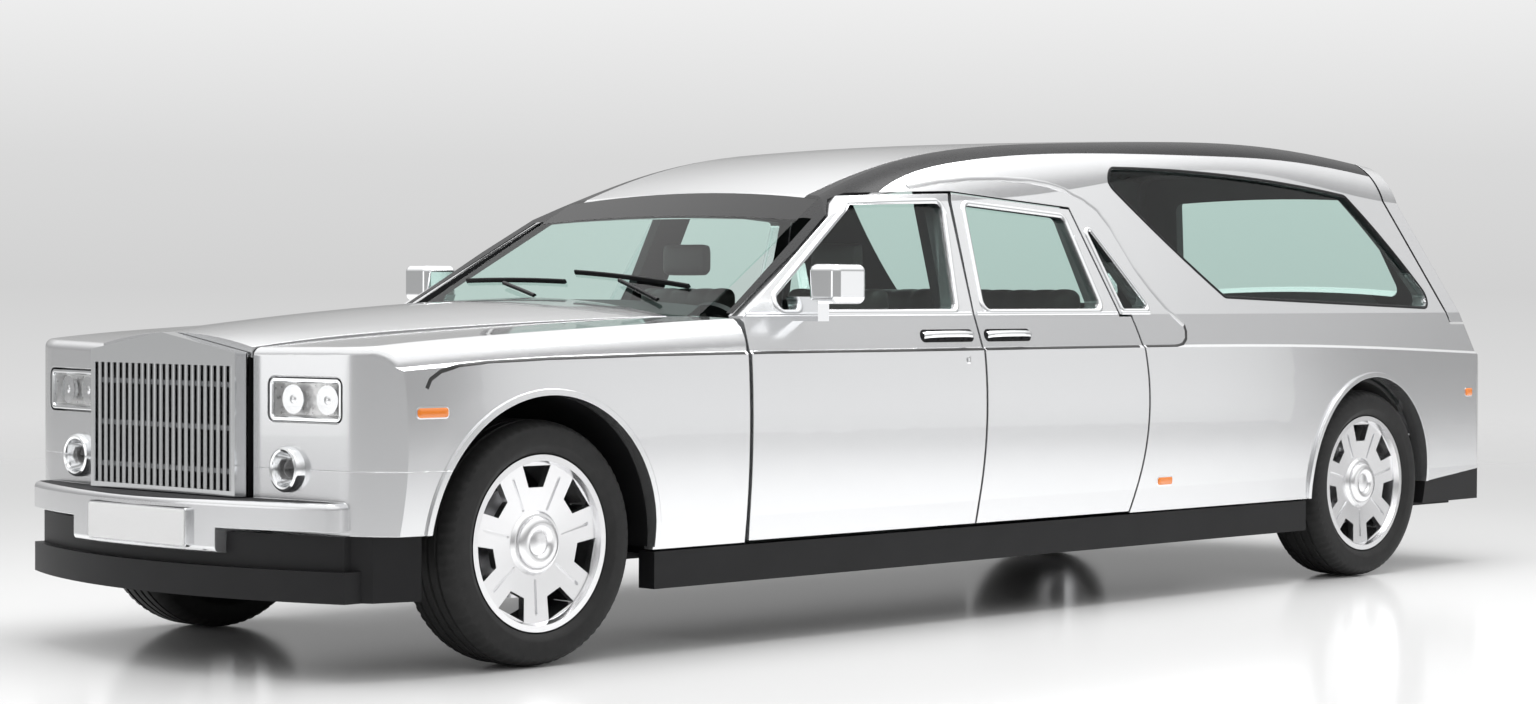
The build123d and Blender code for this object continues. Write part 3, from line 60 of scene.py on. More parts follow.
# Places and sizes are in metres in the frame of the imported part: x forward, y left, z up
NODES = frame["nodes"]
SIDES = (("left", 1), ("right", -1))
FAR = 2.0
AXLE_X = {"front": 2.45, "rear": -2.26}
AXLE_Z = 0.395
WHEEL_Y = 0.828
CABIN_CENTRE = (0.0, 0.0, 0.9)
FACING_WEIGHT = (0.0, 1.0, 0.5)
INSIDE_LIMIT = -0.12


# Shader arithmetic
class Value:
    """A shader socket that takes part in arithmetic."""

    def __init__(self, finish, socket):
        self.finish = finish
        self.socket = socket

    def _math(self, operation, first, second):
        return self.finish.node("ShaderNodeMath", {"operation": operation}, {0: first, 1: second}, "Value")

    def __add__(self, other):
        return self._math("ADD", self, other)

    def __radd__(self, other):
        return self._math("ADD", other, self)

    def __sub__(self, other):
        return self._math("SUBTRACT", self, other)

    def __rsub__(self, other):
        return self._math("SUBTRACT", other, self)

    def __mul__(self, other):
        return self._math("MULTIPLY", self, other)

    def __rmul__(self, other):
        return self._math("MULTIPLY", other, self)

    def __gt__(self, other):
        return self._math("GREATER_THAN", self, other)


class Graph:
    """A node tree and the ways nodes are added to it."""

    def __init__(self, tree):
        self.tree = tree

    def node(self, kind, settings, sockets, result):
        """Make a node from its settings and inputs, and give one of its outputs."""
        made = self.tree.nodes.new(kind)
        for key, value in settings.items():
            setattr(made, key, value)
        self.feed(made, sockets)
        return Value(self, made.outputs[result])

    def feed(self, made, sockets):
        for key, value in sockets.items():
            if isinstance(value, Value):
                self.tree.links.new(value.socket, made.inputs[key])
            else:
                made.inputs[key].default_value = value

    def place(self):
        return self.node("ShaderNodeTexCoord", {}, {}, "Object")

    def noise(self, scale, detail=2.0, stretch=(1, 1, 1)):
        spread = self.vector("MULTIPLY", self.place(), stretch)
        sockets = {"Vector": spread, "Scale": scale, "Detail": detail}
        return self.node("ShaderNodeTexNoise", {}, sockets, "Fac")

    def wave(self, scale, direction):
        sockets = {"Vector": self.place(), "Scale": scale}
        return self.node("ShaderNodeTexWave", {"bands_direction": direction}, sockets, "Fac")

    def cells(self, scale):
        sockets = {"Vector": self.place(), "Scale": scale}
        return self.node("ShaderNodeTexVoronoi", {}, sockets, "Distance")

    def vector(self, operation, first, second, result="Vector"):
        return self.node("ShaderNodeVectorMath", {"operation": operation}, {0: first, 1: second}, result)

    def smooth_step(self, value, low, high):
        """0 below low, 1 above high, eased between."""
        sockets = {"Value": value, "From Min": low, "From Max": high}
        return self.node("ShaderNodeMapRange", {"interpolation_type": "SMOOTHSTEP"}, sockets, "Result")

    def mix(self, factor, first, second):
        return self.node("ShaderNodeMix", {"data_type": "RGBA"}, {0: factor, 6: first, 7: second}, 2)


class Finish(Graph):
    """One material on a single shader."""

    def __init__(self, name):
        self.material = bpy.data.materials.new(name)
        self.material.use_nodes = True
        super().__init__(self.material.node_tree)
        self.shader = self.tree.nodes["Principled BSDF"]
        self.output = self.tree.nodes["Material Output"]

    def set(self, **sockets):
        self.feed(self.shader, {key.replace("_", " "): value for key, value in sockets.items()})

    def outside(self):
        """1 on the outer faces of the body, 0 on those that face the cabin."""
        normal = self.node("ShaderNodeNewGeometry", {}, {}, "Normal")
        facing = self.vector("MULTIPLY", normal, FACING_WEIGHT)
        arm = self.vector("SUBTRACT", self.place(), CABIN_CENTRE)
        return self.vector("DOT_PRODUCT", facing, arm, "Value") > INSIDE_LIMIT

    def bump(self, height, strength, distance):
        sockets = {"Strength": strength, "Distance": distance, "Height": height}
        self.set(Normal=self.node("ShaderNodeBump", {}, sockets, "Normal"))

    def bevelled(self, radius):
        """Soften the highlights along sharp edges."""
        self.set(Normal=self.node("ShaderNodeBevel", {"samples": 4}, {"Radius": radius}, "Normal"))

    def see_through(self, tint, shine, film):
        """Thin clear sheet: tinted where looked through, mirror-like at a grazing angle."""
        clear = self.node("ShaderNodeBsdfTransparent", {}, {"Color": tint}, "BSDF")
        gloss = self.node("ShaderNodeBsdfGlossy", {}, {"Color": rgba((1, 1, 1)), "Roughness": 0.0}, "BSDF")
        fresnel = self.node("ShaderNodeFresnel", {}, {"IOR": 1.5}, "Fac")
        front = 1.0 - self.node("ShaderNodeNewGeometry", {}, {}, "Backfacing")
        mirrored = (fresnel * shine + film) * front
        return self.blend_shaders(mirrored, clear, gloss)

    def blend_shaders(self, share, first, second):
        """Use a blend of two shaders as the surface."""
        mixed = self.node("ShaderNodeMixShader", {}, {0: share, 1: first, 2: second}, "Shader")
        self.tree.links.new(mixed.socket, self.output.inputs["Surface"])
        return mixed


def rgba(tone, gain=1.0):
    return (min(1.0, tone[0] * gain), min(1.0, tone[1] * gain), min(1.0, tone[2] * gain), 1.0)


def grey(level):
    return (level, level, level, 1.0)


# Finishes: each function sets up a new material in the colours of the look
GLASS_SHINE = 0.5
GLASS_FILM = 0.006
SCREEN_BAND = (0.985, 0.995)


def silver_lacquer(finish, look):
    flake = finish.noise(1400.0, 1.0)
    outer = finish.outside()
    paint = finish.mix(flake, rgba(look.lacquer, 0.97), rgba(look.lacquer, 1.03))
    finish.set(Base_Color=finish.mix(outer, rgba(look.lining), paint), Metallic=0.9 * outer)
    finish.set(Roughness=0.8 - 0.6 * outer, Coat_Weight=outer, Coat_Roughness=0.02)
    finish.bevelled(0.004)


def gloss_black(finish, look):
    dust = finish.noise(60.0, 3.0)
    finish.set(Base_Color=finish.mix(dust, rgba(look.black, 0.5), rgba(look.black)))
    finish.set(Roughness=0.24 + dust * 0.08, Specular_IOR_Level=0.15)


def grained_black(finish, look):
    grain = finish.noise(420.0, 4.0)
    tone = finish.noise(6.0)
    finish.set(Base_Color=finish.mix(tone, rgba(look.black, 0.5), rgba(look.black)))
    finish.set(Roughness=0.4 + grain * 0.14, Specular_IOR_Level=0.22)
    finish.bump(grain, 0.15, 0.0006)


def window_glass(finish, look):
    """Clear sheet with a faint film."""
    return finish.see_through(rgba(look.glass), GLASS_SHINE, finish.noise(7.0) * GLASS_FILM)


def screen_glass(finish, look):
    """Window glass with a dark band along its upper edge."""
    sheet = window_glass(finish, look)
    along = finish.vector("DOT_PRODUCT", finish.place(), (1, 0, 0), "Value")
    finish.set(Base_Color=rgba(look.black, 0.4), Roughness=0.2, Specular_IOR_Level=0.2)
    band = finish.smooth_step(along, *SCREEN_BAND)
    finish.blend_shaders(band, Value(finish, finish.shader.outputs["BSDF"]), sheet)


def polished_chrome(finish, look):
    smear = finish.noise(30.0, 3.0)
    finish.set(Base_Color=rgba(look.chrome), Metallic=1.0, Roughness=0.06 + smear * 0.06)


def brushed_chrome(finish, look):
    lines = finish.noise(300.0, 3.0, (1, 1, 0.02))
    finish.set(Base_Color=finish.mix(lines, rgba(look.chrome, 0.55), rgba(look.chrome, 0.8)), Metallic=1.0)
    finish.set(Roughness=0.12 + lines * 0.1)


def polished_alloy(finish, look):
    smear = finish.noise(6.0, 2.0)
    finish.set(Base_Color=finish.mix(smear, rgba(look.alloy, 0.94), rgba(look.alloy)), Metallic=1.0)
    finish.set(Roughness=0.2 + smear * 0.06)


def tyre_rubber(finish, look):
    dust = finish.noise(25.0, 4.0)
    fine = finish.noise(380.0)
    finish.set(Base_Color=finish.mix(dust, grey(0.008), grey(0.02)), Roughness=0.5 + fine * 0.2)
    finish.set(Specular_IOR_Level=0.3)
    finish.bump(fine, 0.2, 0.0008)


def hide_leather(finish, look):
    tone = finish.noise(9.0, 3.0)
    finish.set(Base_Color=finish.mix(tone, rgba(look.leather), rgba(look.leather, 1.6)))
    finish.set(Roughness=0.42 + tone * 0.12)
    finish.bump(finish.cells(420.0), 0.25, 0.0008)


def deck_carpet(finish, look):
    pile = finish.noise(700.0, 3.0)
    finish.set(Base_Color=finish.mix(pile, grey(0.02), grey(0.06)), Roughness=0.95)
    finish.bump(pile, 0.6, 0.002)


def dark_casting(finish, look):
    rough = finish.noise(160.0, 4.0)
    finish.set(Base_Color=finish.mix(rough, grey(0.05), grey(0.12)))
    finish.set(Metallic=0.7, Roughness=0.45 + rough * 0.25)
    finish.bump(rough, 0.3, 0.001)


def lamp_dish(finish, look):
    facets = finish.cells(55.0)
    finish.set(Base_Color=finish.mix(facets, grey(0.75), grey(0.95)))
    finish.set(Metallic=0.7, Roughness=0.25 + facets * 0.1)
    finish.bump(facets, 0.4, 0.003)


def clear_lens(finish, look):
    finish.see_through(grey(0.96), 0.9, finish.noise(60.0) * 0.02)


def red_lens(finish, look):
    flutes = finish.wave(40.0, "Z")
    finish.set(Base_Color=finish.mix(flutes, rgba((0.25, 0.005, 0.005)), rgba((0.5, 0.02, 0.02))))
    finish.set(Roughness=0.1, Coat_Weight=1.0)


def amber_lens(finish, look):
    flutes = finish.wave(90.0, "X")
    finish.set(Base_Color=finish.mix(flutes, rgba(look.amber, 0.75), rgba(look.amber)), Roughness=0.14)
    finish.set(Coat_Weight=1.0)


# Painted shade: a dark strip that stands for the shadow along the flank crease, streaked along its length
def crease_shade_paint(finish, look):
    shade_streak = finish.noise(120.0, 2.0, (0.1, 1, 1))
    finish.set(Base_Color=finish.mix(shade_streak, grey(0.03), grey(0.05)), Roughness=0.35 + shade_streak * 0.1)
    finish.set(Specular_IOR_Level=0.2)


def plate_white(finish, look):
    beads = finish.cells(900.0)
    finish.set(Base_Color=finish.mix(beads, grey(0.66), grey(0.74)), Roughness=0.34 + beads * 0.1)


FINISHES = {
    "silver_paint": silver_lacquer,
    "black_trim": grained_black,
    "gloss_black": gloss_black,
    "glass": window_glass,
    "screen": screen_glass,
    "chrome": polished_chrome,
    "lamp_clear": lamp_dish,
    "lamp_red": red_lens,
    "carpet": deck_carpet,
    "leather": hide_leather,
    "dash_plastic": grained_black,
    "cast_metal": dark_casting,
    "tyre_rubber": tyre_rubber,
    "alloy": polished_alloy,
    "slats": brushed_chrome,
    "lens": clear_lens,
    "amber": amber_lens,
    # Painted shade along the flank crease
    "crease_shade_line": crease_shade_paint,
    "plate": plate_white,
}


def finish_for(name):
    """The material of one finish, made once."""
    key = "hearse_" + name
    if key not in bpy.data.materials:
        FINISHES[name](Finish(key), bpy.context.scene.hearse_look)
    return bpy.data.materials[key]


# Values a user would change
class HearseLook(bpy.types.PropertyGroup):
    """Colours of the hearse."""

    lacquer: FloatVectorProperty(name="Lacquer", description="Silver body colour", subtype="COLOR", size=3,
                                 default=(0.7, 0.705, 0.715), min=0.0, max=1.0)
    black: FloatVectorProperty(name="Black trim", description="Sills, rails and valances", subtype="COLOR",
                               size=3, default=(0.012, 0.012, 0.013), min=0.0, max=1.0)
    glass: FloatVectorProperty(name="Glass", description="Tint of the windows", subtype="COLOR", size=3,
                               default=(0.9, 0.97, 0.95), min=0.0, max=1.0)
    chrome: FloatVectorProperty(name="Chrome", description="Brightwork colour", subtype="COLOR", size=3,
                                default=(0.86, 0.87, 0.88), min=0.0, max=1.0)
    alloy: FloatVectorProperty(name="Alloy", description="Wheel colour", subtype="COLOR", size=3,
                               default=(0.82, 0.82, 0.83), min=0.0, max=1.0)
    leather: FloatVectorProperty(name="Leather", description="Seat colour", subtype="COLOR", size=3,
                                 default=(0.03, 0.027, 0.025), min=0.0, max=1.0)
    lining: FloatVectorProperty(name="Lining", description="Inner faces of doors, walls and roof",
                                subtype="COLOR", size=3, default=(0.02, 0.02, 0.022), min=0.0, max=1.0)
    amber: FloatVectorProperty(name="Amber", description="Side marker lenses", subtype="COLOR", size=3,
                               default=(0.85, 0.22, 0.01), min=0.0, max=1.0)


class HearseSizes(bpy.types.PropertyGroup):
    """Sizes of the trim."""

    frame_width: FloatProperty(name="Window frame", description="Width of the bright window frames",
                               unit="LENGTH", default=0.02)
    waist_width: FloatProperty(name="Waist strip", description="Width of the bright strip under the windows",
                               unit="LENGTH", default=0.014)
    # The dark strip along the crease is painted shade
    crease_shade_width: FloatProperty(name="Crease shade", description="Width of the dark line along the crease",
                               unit="LENGTH", default=0.013)
    tread_blocks: IntProperty(name="Tread blocks", description="Shoulder blocks round one tyre", default=72)


class HearseStudio(bpy.types.PropertyGroup):
    """Camera of the studio."""

    camera_place: FloatVectorProperty(name="Camera", description="Camera position", subtype="TRANSLATION",
                                      size=3, default=(9.277, 8.510, 1.212))
    yaw: FloatProperty(name="Yaw", description="Heading, from straight across the car towards its tail",
                       subtype="ANGLE", default=radians(46.112))
    pitch: FloatProperty(name="Pitch", description="Downward tilt", subtype="ANGLE", default=radians(1.142))
    roll: FloatProperty(name="Roll", description="Tilt of the horizon", subtype="ANGLE",
                        default=radians(0.237))
    focal_pixels: FloatProperty(name="Focal length", description="In pixels of a 1536 pixel wide picture",
                                default=3189.8)


# Mesh helpers
LEAST_ROUND = 0.0005
SINK = -0.001
STRIP_STEP = 0.03


def make_piece(name, body, slot, finish, verts, faces, sharp=40):
    """Link a mesh as a piece that rides on a body."""
    mesh = bpy.data.meshes.new(name)
    mesh.from_pydata([tuple(v) for v in verts], [], faces)
    shell = bmesh.new()
    shell.from_mesh(mesh)
    bmesh.ops.recalc_face_normals(shell, faces=shell.faces)
    shell.to_mesh(mesh)
    shell.free()
    mesh.polygons.foreach_set("use_smooth", [True] * len(mesh.polygons))
    mesh.set_sharp_from_angle(angle=radians(sharp))
    mesh.materials.append(finish_for(finish))
    piece = bpy.data.objects.new(name, mesh)
    bpy.context.scene.collection.objects.link(piece)
    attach(piece, body)
    return piece


def surface(*names):
    """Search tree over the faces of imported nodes."""
    verts = []
    faces = []
    for name in names:
        mesh = NODES[name].data
        start = len(verts)
        verts.extend(v.co.copy() for v in mesh.vertices)
        faces.extend([start + i for i in face.vertices] for face in mesh.polygons)
    return BVHTree.FromPolygons(verts, faces)


def side_hit(tree, x, z, turn):
    """Point and outward normal of a flank at one length and height."""
    place, normal, _, _ = tree.ray_cast(Vector((x, turn * FAR, z)), Vector((0, -turn, 0)))
    if place is None:
        raise RuntimeError(f"no surface at {x:.3f}, {z:.3f}")
    return place, normal if normal.y * turn > 0 else -normal


def sweep(points, normals, profile, closed):
    """Carry a closed profile of (across, out) pairs along a line of points."""
    count = len(points)
    width = len(profile)
    verts = []
    for i, (point, normal) in enumerate(zip(points, normals)):
        before = points[i - 1] if closed or i else point
        after = points[(i + 1) % count] if closed or i < count - 1 else point
        across = normal.cross(after - before).normalized()
        verts.extend(point + across * a + normal * out for a, out in profile)
    faces = []
    for i in range(count if closed else count - 1):
        j = (i + 1) % count
        for k in range(width):
            n = (k + 1) % width
            faces.append((i * width + k, i * width + n, j * width + n, j * width + k))
    if not closed:
        faces.append(tuple(range(width)))
        faces.append(tuple(range((count - 1) * width, count * width)))
    return verts, faces


def strip_profile(width, rise):
    """Half-oval moulding, sunk a little into its seat."""
    half = width / 2
    return [(-half, SINK), (-half, 0.4 * rise), (-0.6 * half, 0.9 * rise), (0, rise),
            (0.6 * half, 0.9 * rise), (half, 0.4 * rise), (half, SINK)]


def round_profile(radius, steps=10):
    """Round bar."""
    return [(radius * cos(2 * pi * k / steps), radius * sin(2 * pi * k / steps)) for k in range(steps)]


def resample(points, step, closed):
    """Even spacing along a line of (x, z) points."""
    line = points + points[:1] if closed else points
    result = []
    for (x0, z0), (x1, z1) in zip(line, line[1:]):
        parts = max(1, ceil(hypot(x1 - x0, z1 - z0) / step))
        result.extend((x0 + (x1 - x0) * k / parts, z0 + (z1 - z0) * k / parts) for k in range(parts))
    return result if closed else result + points[-1:]


def flank_strip(name, body, slot, finish, tree, line, turn, profile, closed=False):
    """Moulding that follows a line of (x, z) points on a flank."""
    hits = [side_hit(tree, x, z, turn) for x, z in resample(line, STRIP_STEP, closed)]
    verts, faces = sweep([h[0] for h in hits], [h[1] for h in hits], profile, closed)
    return make_piece(name, body, slot, finish, verts, faces)


def hull(points):
    """Outline of a convex set of (x, z) points."""
    ordered = sorted(set((round(x, 4), round(z, 4)) for x, z in points))

    def half(run):
        chain = []
        for p in run:
            while len(chain) > 1 and ((chain[-1][0] - chain[-2][0]) * (p[1] - chain[-2][1])
                                      - (chain[-1][1] - chain[-2][1]) * (p[0] - chain[-2][0])) <= 0:
                chain.pop()
            chain.append(p)
        return chain[:-1]

    return half(ordered) + half(ordered[::-1])


def grown(outline, amount):
    """Convex outline moved outwards."""
    result = []
    count = len(outline)
    for i in range(count):
        ahead = Vector(outline[(i + 1) % count]) - Vector(outline[i - 1])
        out = Vector((ahead.y, -ahead.x)).normalized()
        result.append(tuple(Vector(outline[i]) + out * amount))
    return result


def pane_outline(node, keep=lambda x: True):
    """Side-view outline of a packed pane."""
    return hull([(v.co.x, v.co.z) for v in NODES[node].data.vertices if keep(v.co.x)])


def rounded_outline(width, height, radius, steps=6):
    """Rounded rectangle about the origin."""
    points = []
    for cx, cz, start in ((1, 1, 0), (-1, 1, 1), (-1, -1, 2), (1, -1, 3)):
        for k in range(steps + 1):
            angle = (start + k / steps) * pi / 2
            points.append((cx * (width / 2 - radius) + radius * cos(angle),
                           cz * (height / 2 - radius) + radius * sin(angle)))
    return points


def inset_outline(size, radius, inset):
    """Rounded rectangle drawn in from its edge."""
    return rounded_outline(size[0] - 2 * inset, size[1] - 2 * inset, max(LEAST_ROUND, radius - inset))


def stacked(rings):
    """Skin over rings of equal length, capped at both ends."""
    count = len(rings[0])
    verts = [point for ring in rings for point in ring]
    faces = [tuple(range(count)), tuple(range((len(rings) - 1) * count, len(rings) * count))]
    for r in range(len(rings) - 1):
        for k in range(count):
            n = (k + 1) % count
            faces.append((r * count + k, r * count + n, (r + 1) * count + n, (r + 1) * count + k))
    return verts, faces


def slab_rings(origin, axes, size, radius, layers):
    """Rounded rectangles stacked along an outward direction; layers are (inset, out) pairs."""
    across, up, out = axes
    rings = []
    for inset, rise in layers:
        outline = inset_outline(size, radius, inset)
        rings.append([origin + across * a + up * b + out * rise for a, b in outline])
    return rings


def flank_pad(name, body, slot, finish, tree, turn, centre, size, radius, rise):
    """Low rounded lens or plate that follows a flank."""
    rings = []
    layers = ((0.0, SINK), (0.0, 0.5 * rise), (0.2 * size[1], rise), (0.42 * size[1], 1.05 * rise))
    for inset, height in layers:
        ring = []
        for a, b in inset_outline(size, radius, inset):
            place, normal = side_hit(tree, centre[0] + a, centre[1] + b, turn)
            ring.append(place + normal * height)
        rings.append(ring)
    return make_piece(name, body, slot, finish, *stacked(rings))


def turned(profile, centre, axis, segments, closed=False, notch=lambda segment, index: 0.0):
    """Turn a profile of (radius, along) pairs about an axis."""
    axis = Vector(axis).normalized()
    first = axis.orthogonal().normalized()
    second = axis.cross(first)
    count = len(profile)
    verts = []
    for s in range(segments):
        angle = 2 * pi * s / segments
        ray = first * cos(angle) + second * sin(angle)
        verts.extend(Vector(centre) + axis * along + ray * (radius - notch(s, i))
                     for i, (radius, along) in enumerate(profile))
    faces = []
    for s in range(segments):
        t = (s + 1) % segments
        for i in range(count if closed else count - 1):
            j = (i + 1) % count
            faces.append((s * count + i, s * count + j, t * count + j, t * count + i))
    if not closed:
        for i in (0, count - 1):
            faces.append(tuple(s * count + i for s in range(segments)))
    return verts, faces


# Steps
OWN_FINISHES = (("grille_slats", "slats"), ("windscreen", "screen"))


def dress(node, finish):
    """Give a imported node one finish."""
    mesh = NODES[node].data
    mesh.materials.clear()
    mesh.materials.append(finish_for(finish))


class HEARSE_OT_finishes(bpy.types.Operator):
    """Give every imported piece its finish"""

    bl_idname = "hearse.finishes"
    bl_label = "Finishes"

    def execute(self, context):
        for part in frame["record"]["subparts"]:
            dress(part["node"], part["material_slot"])
        for node, finish in OWN_FINISHES:
            dress(node, finish)
        return {"FINISHED"}


# Each side's fixed glass is one node: this x parts its quarter light from the long window
GLASS_SPLIT = -0.75
FRAME_RISE = 0.007
QUARTER_RISE = 0.006
SEAL_WIDTH = 0.012
SEAL_RISE = 0.003


class HEARSE_OT_window_frames(bpy.types.Operator):
    """Bright frames round the side windows and a seal round the long ones"""

    bl_idname = "hearse.window_frames"
    bl_label = "Window frames"

    def execute(self, context):
        width = context.scene.hearse_sizes.frame_width
        bright = strip_profile(width, FRAME_RISE)
        narrow = strip_profile(0.8 * width, QUARTER_RISE)
        seal = strip_profile(SEAL_WIDTH, SEAL_RISE)
        for side, turn in SIDES:
            for door in ("front", "rear"):
                outline = grown(pane_outline(f"{door}_door_glass_{side}"), 0.55 * width)
                tree = surface(f"{door}_door_{side}")
                body = f"{door}_door_body_{side}"
                flank_strip(f"{door}_window_frame_{side}", body, "chrome", "chrome", tree, outline, turn,
                            bright, closed=True)
            tree = surface(f"body_side_{side}")
            quarter = grown(pane_outline(f"side_glass_{side}", lambda x: x > GLASS_SPLIT), 0.5 * width)
            flank_strip(f"quarter_frame_{side}", "body", "chrome", "chrome", tree, quarter, turn, narrow,
                        closed=True)
            long_pane = grown(pane_outline(f"side_glass_{side}", lambda x: x < GLASS_SPLIT), 0.5 * SEAL_WIDTH)
            flank_strip(f"long_window_seal_{side}", "body", "black_trim", "black_trim", tree, long_pane,
                        turn, seal, closed=True)
        return {"FINISHED"}


# Waist strips on the doors: node, front end, rear end
WAIST_Z = 1.1225
WAIST_RISE = 0.006
REAR_WAIST = (-0.566, -0.745)
WAIST_RUNS = (("front_door", 1.512, 0.336), ("rear_door", 0.3, -0.536))
# Lines along the flank, as (x, z) points; the crease runs carry a dark strip of painted shade
CREASE_SHADE_Z = 0.9935
CREASE_SHADE_RISE = 0.0022
CREASE_SHADE_RUNS = (("front_door", [(1.515, CREASE_SHADE_Z), (0.312, CREASE_SHADE_Z)]),
              ("rear_door", [(0.292, CREASE_SHADE_Z), (-0.63, CREASE_SHADE_Z)]))
CREASE_SHADE_FRONT = [(2.945, 0.9), (2.93, 0.928), (2.89, 0.952), (2.82, 0.969), (2.7, 0.978), (2.45, 0.986),
               (2.0, 0.992), (1.556, CREASE_SHADE_Z)]
CREASE_SHADE_REAR = [(-0.68, CREASE_SHADE_Z), (-0.87, CREASE_SHADE_Z), (-0.92, 1.0), (-0.948, 1.02), (-0.958, 1.05),
              (-0.952, 1.08)]
CAB_EDGE = [(0.45, 1.594), (0.27, 1.618), (0.09, 1.633), (-0.09, 1.638), (-0.25, 1.634), (-0.36, 1.623),
            (-0.46, 1.604), (-0.56, 1.57), (-0.63, 1.528), (-0.68, 1.46), (-0.715, 1.38), (-0.755, 1.29),
            (-0.81, 1.21), (-0.88, 1.13), (-0.935, 1.09), (-0.953, 1.078)]
CAB_EDGE_PROFILE = [(-0.018, SINK), (-0.008, 0.003), (0.0, 0.0055), (0.005, 0.004), (0.008, SINK)]


class HEARSE_OT_side_lines(bpy.types.Operator):
    """Bright waist strips, a dark strip of painted shade along the crease and the raised edge behind the cab
    """

    bl_idname = "hearse.side_lines"
    bl_label = "Side lines"

    def execute(self, context):
        sizes = context.scene.hearse_sizes
        waist = strip_profile(sizes.waist_width, WAIST_RISE)
        crease_shade = strip_profile(sizes.crease_shade_width, CREASE_SHADE_RISE)
        for side, turn in SIDES:
            for door, front, rear in WAIST_RUNS:
                flank_strip(f"{door}_waist_strip_{side}", f"{door}_body_{side}", "chrome", "chrome",
                            surface(f"{door}_{side}"), [(front, WAIST_Z), (rear, WAIST_Z)], turn, waist)
            # Dark strips of painted shade along the crease on the doors, the rear quarter and the wing
            for door, line in CREASE_SHADE_RUNS:
                flank_strip(f"{door}_coach_line_{side}", f"{door}_body_{side}", "silver_paint", "crease_shade_line",
                            surface(f"{door}_{side}"), line, turn, crease_shade)
            body = surface(f"body_side_{side}")
            flank_strip(f"rear_waist_strip_{side}", "body", "chrome", "chrome", body,
                        [(x, WAIST_Z) for x in REAR_WAIST], turn, waist)
            flank_strip(f"rear_coach_line_{side}", "body", "silver_paint", "crease_shade_line", body, CREASE_SHADE_REAR,
                        turn, crease_shade)
            flank_strip(f"cab_edge_{side}", "body", "silver_paint", "silver_paint", body, CAB_EDGE, turn,
                        [(turn * across, out) for across, out in CAB_EDGE_PROFILE])
            flank_strip(f"wing_coach_line_{side}", "body", "silver_paint", "crease_shade_line",
                        surface(f"front_wing_{side}"), CREASE_SHADE_FRONT, turn, crease_shade)
        return {"FINISHED"}


# Handles: node, rear end, front end
HANDLES = (("front_door", 0.345, 0.64), ("rear_door", 0.015, 0.285))
HANDLE_Z = 1.043
HANDLE_END = 0.012
HANDLE_R = 0.0095
HANDLE_OVAL = (1.25, 0.8)
HANDLE_FOOT = 0.004
HANDLE_BOW = 0.022
HANDLE_STEPS = 28
RECESS_HEIGHT = 0.046
RECESS_ROUND = 0.022
RECESS_RISE = 0.001
LOCK_PLACE = (0.4, 0.955)
LOCK_SIZE = (0.02, 0.03)
LOCK_ROUND = 0.009
LOCK_RISE = 0.004


class HEARSE_OT_handles(bpy.types.Operator):
    """Bar handles in dark recesses, with a lock button below"""

    bl_idname = "hearse.handles"
    bl_label = "Door handles"

    def execute(self, context):
        for side, turn in SIDES:
            for door, rear, front in HANDLES:
                body = f"{door}_body_{side}"
                tree = surface(f"{door}_{side}")
                middle = (rear + front) / 2
                length = front - rear
                flank_pad(f"{door}_handle_recess_{side}", body, "black_trim", "gloss_black", tree, turn,
                          (middle, HANDLE_Z), (length, RECESS_HEIGHT), RECESS_ROUND, RECESS_RISE)
                self.bar(f"{door}_handle_{side}", body, tree, turn, rear + HANDLE_END, front - HANDLE_END)
            flank_pad(f"door_lock_{side}", f"front_door_body_{side}", "chrome", "chrome",
                      surface(f"front_door_{side}"), turn, LOCK_PLACE, LOCK_SIZE, LOCK_ROUND, LOCK_RISE)
        return {"FINISHED"}

    def bar(self, name, body, tree, turn, rear, front):
        """Oval bar that bows out from the door between its two feet."""
        points = []
        normals = []
        for k in range(HANDLE_STEPS + 1):
            share = k / HANDLE_STEPS
            place, normal = side_hit(tree, rear + (front - rear) * share, HANDLE_Z, turn)
            points.append(place + normal * (HANDLE_FOOT + HANDLE_BOW * sin(pi * share) ** 0.35))
            normals.append(normal)
        wide, thick = HANDLE_OVAL
        profile = [(wide * a, thick * b) for a, b in round_profile(HANDLE_R)]
        make_piece(name, body, "chrome", "chrome", *sweep(points, normals, profile, False))


# Markers: piece, node it sits on, centre, size
MARKERS = (("wing_marker", "front_wing", (2.925, 0.825), (0.115, 0.03)),
           ("side_marker", "body_side", (-0.796, 0.465), (0.09, 0.03)),
           ("rear_marker", "body_side", (-3.055, 0.767), (0.055, 0.034)))
MARKER_ROUND = 0.01
MARKER_RISE = 0.008
MARKER_BEZEL = 0.008
MARKER_BEZEL_ROUND = 0.013
MARKER_BEZEL_RISE = 0.002


class HEARSE_OT_markers(bpy.types.Operator):
    """Amber marker lamps along the flanks"""

    bl_idname = "hearse.markers"
    bl_label = "Side markers"

    def execute(self, context):
        for side, turn in SIDES:
            for name, node, centre, size in MARKERS:
                tree = surface(f"{node}_{side}")
                flank_pad(f"{name}_{side}", "body", "lamp_red", "amber", tree, turn, centre, size,
                          MARKER_ROUND, MARKER_RISE)
                bezel_size = (size[0] + MARKER_BEZEL, size[1] + MARKER_BEZEL)
                flank_pad(f"{name}_bezel_{side}", "body", "chrome", "chrome", tree, turn, centre, bezel_size,
                          MARKER_BEZEL_ROUND, MARKER_BEZEL_RISE)
        return {"FINISHED"}


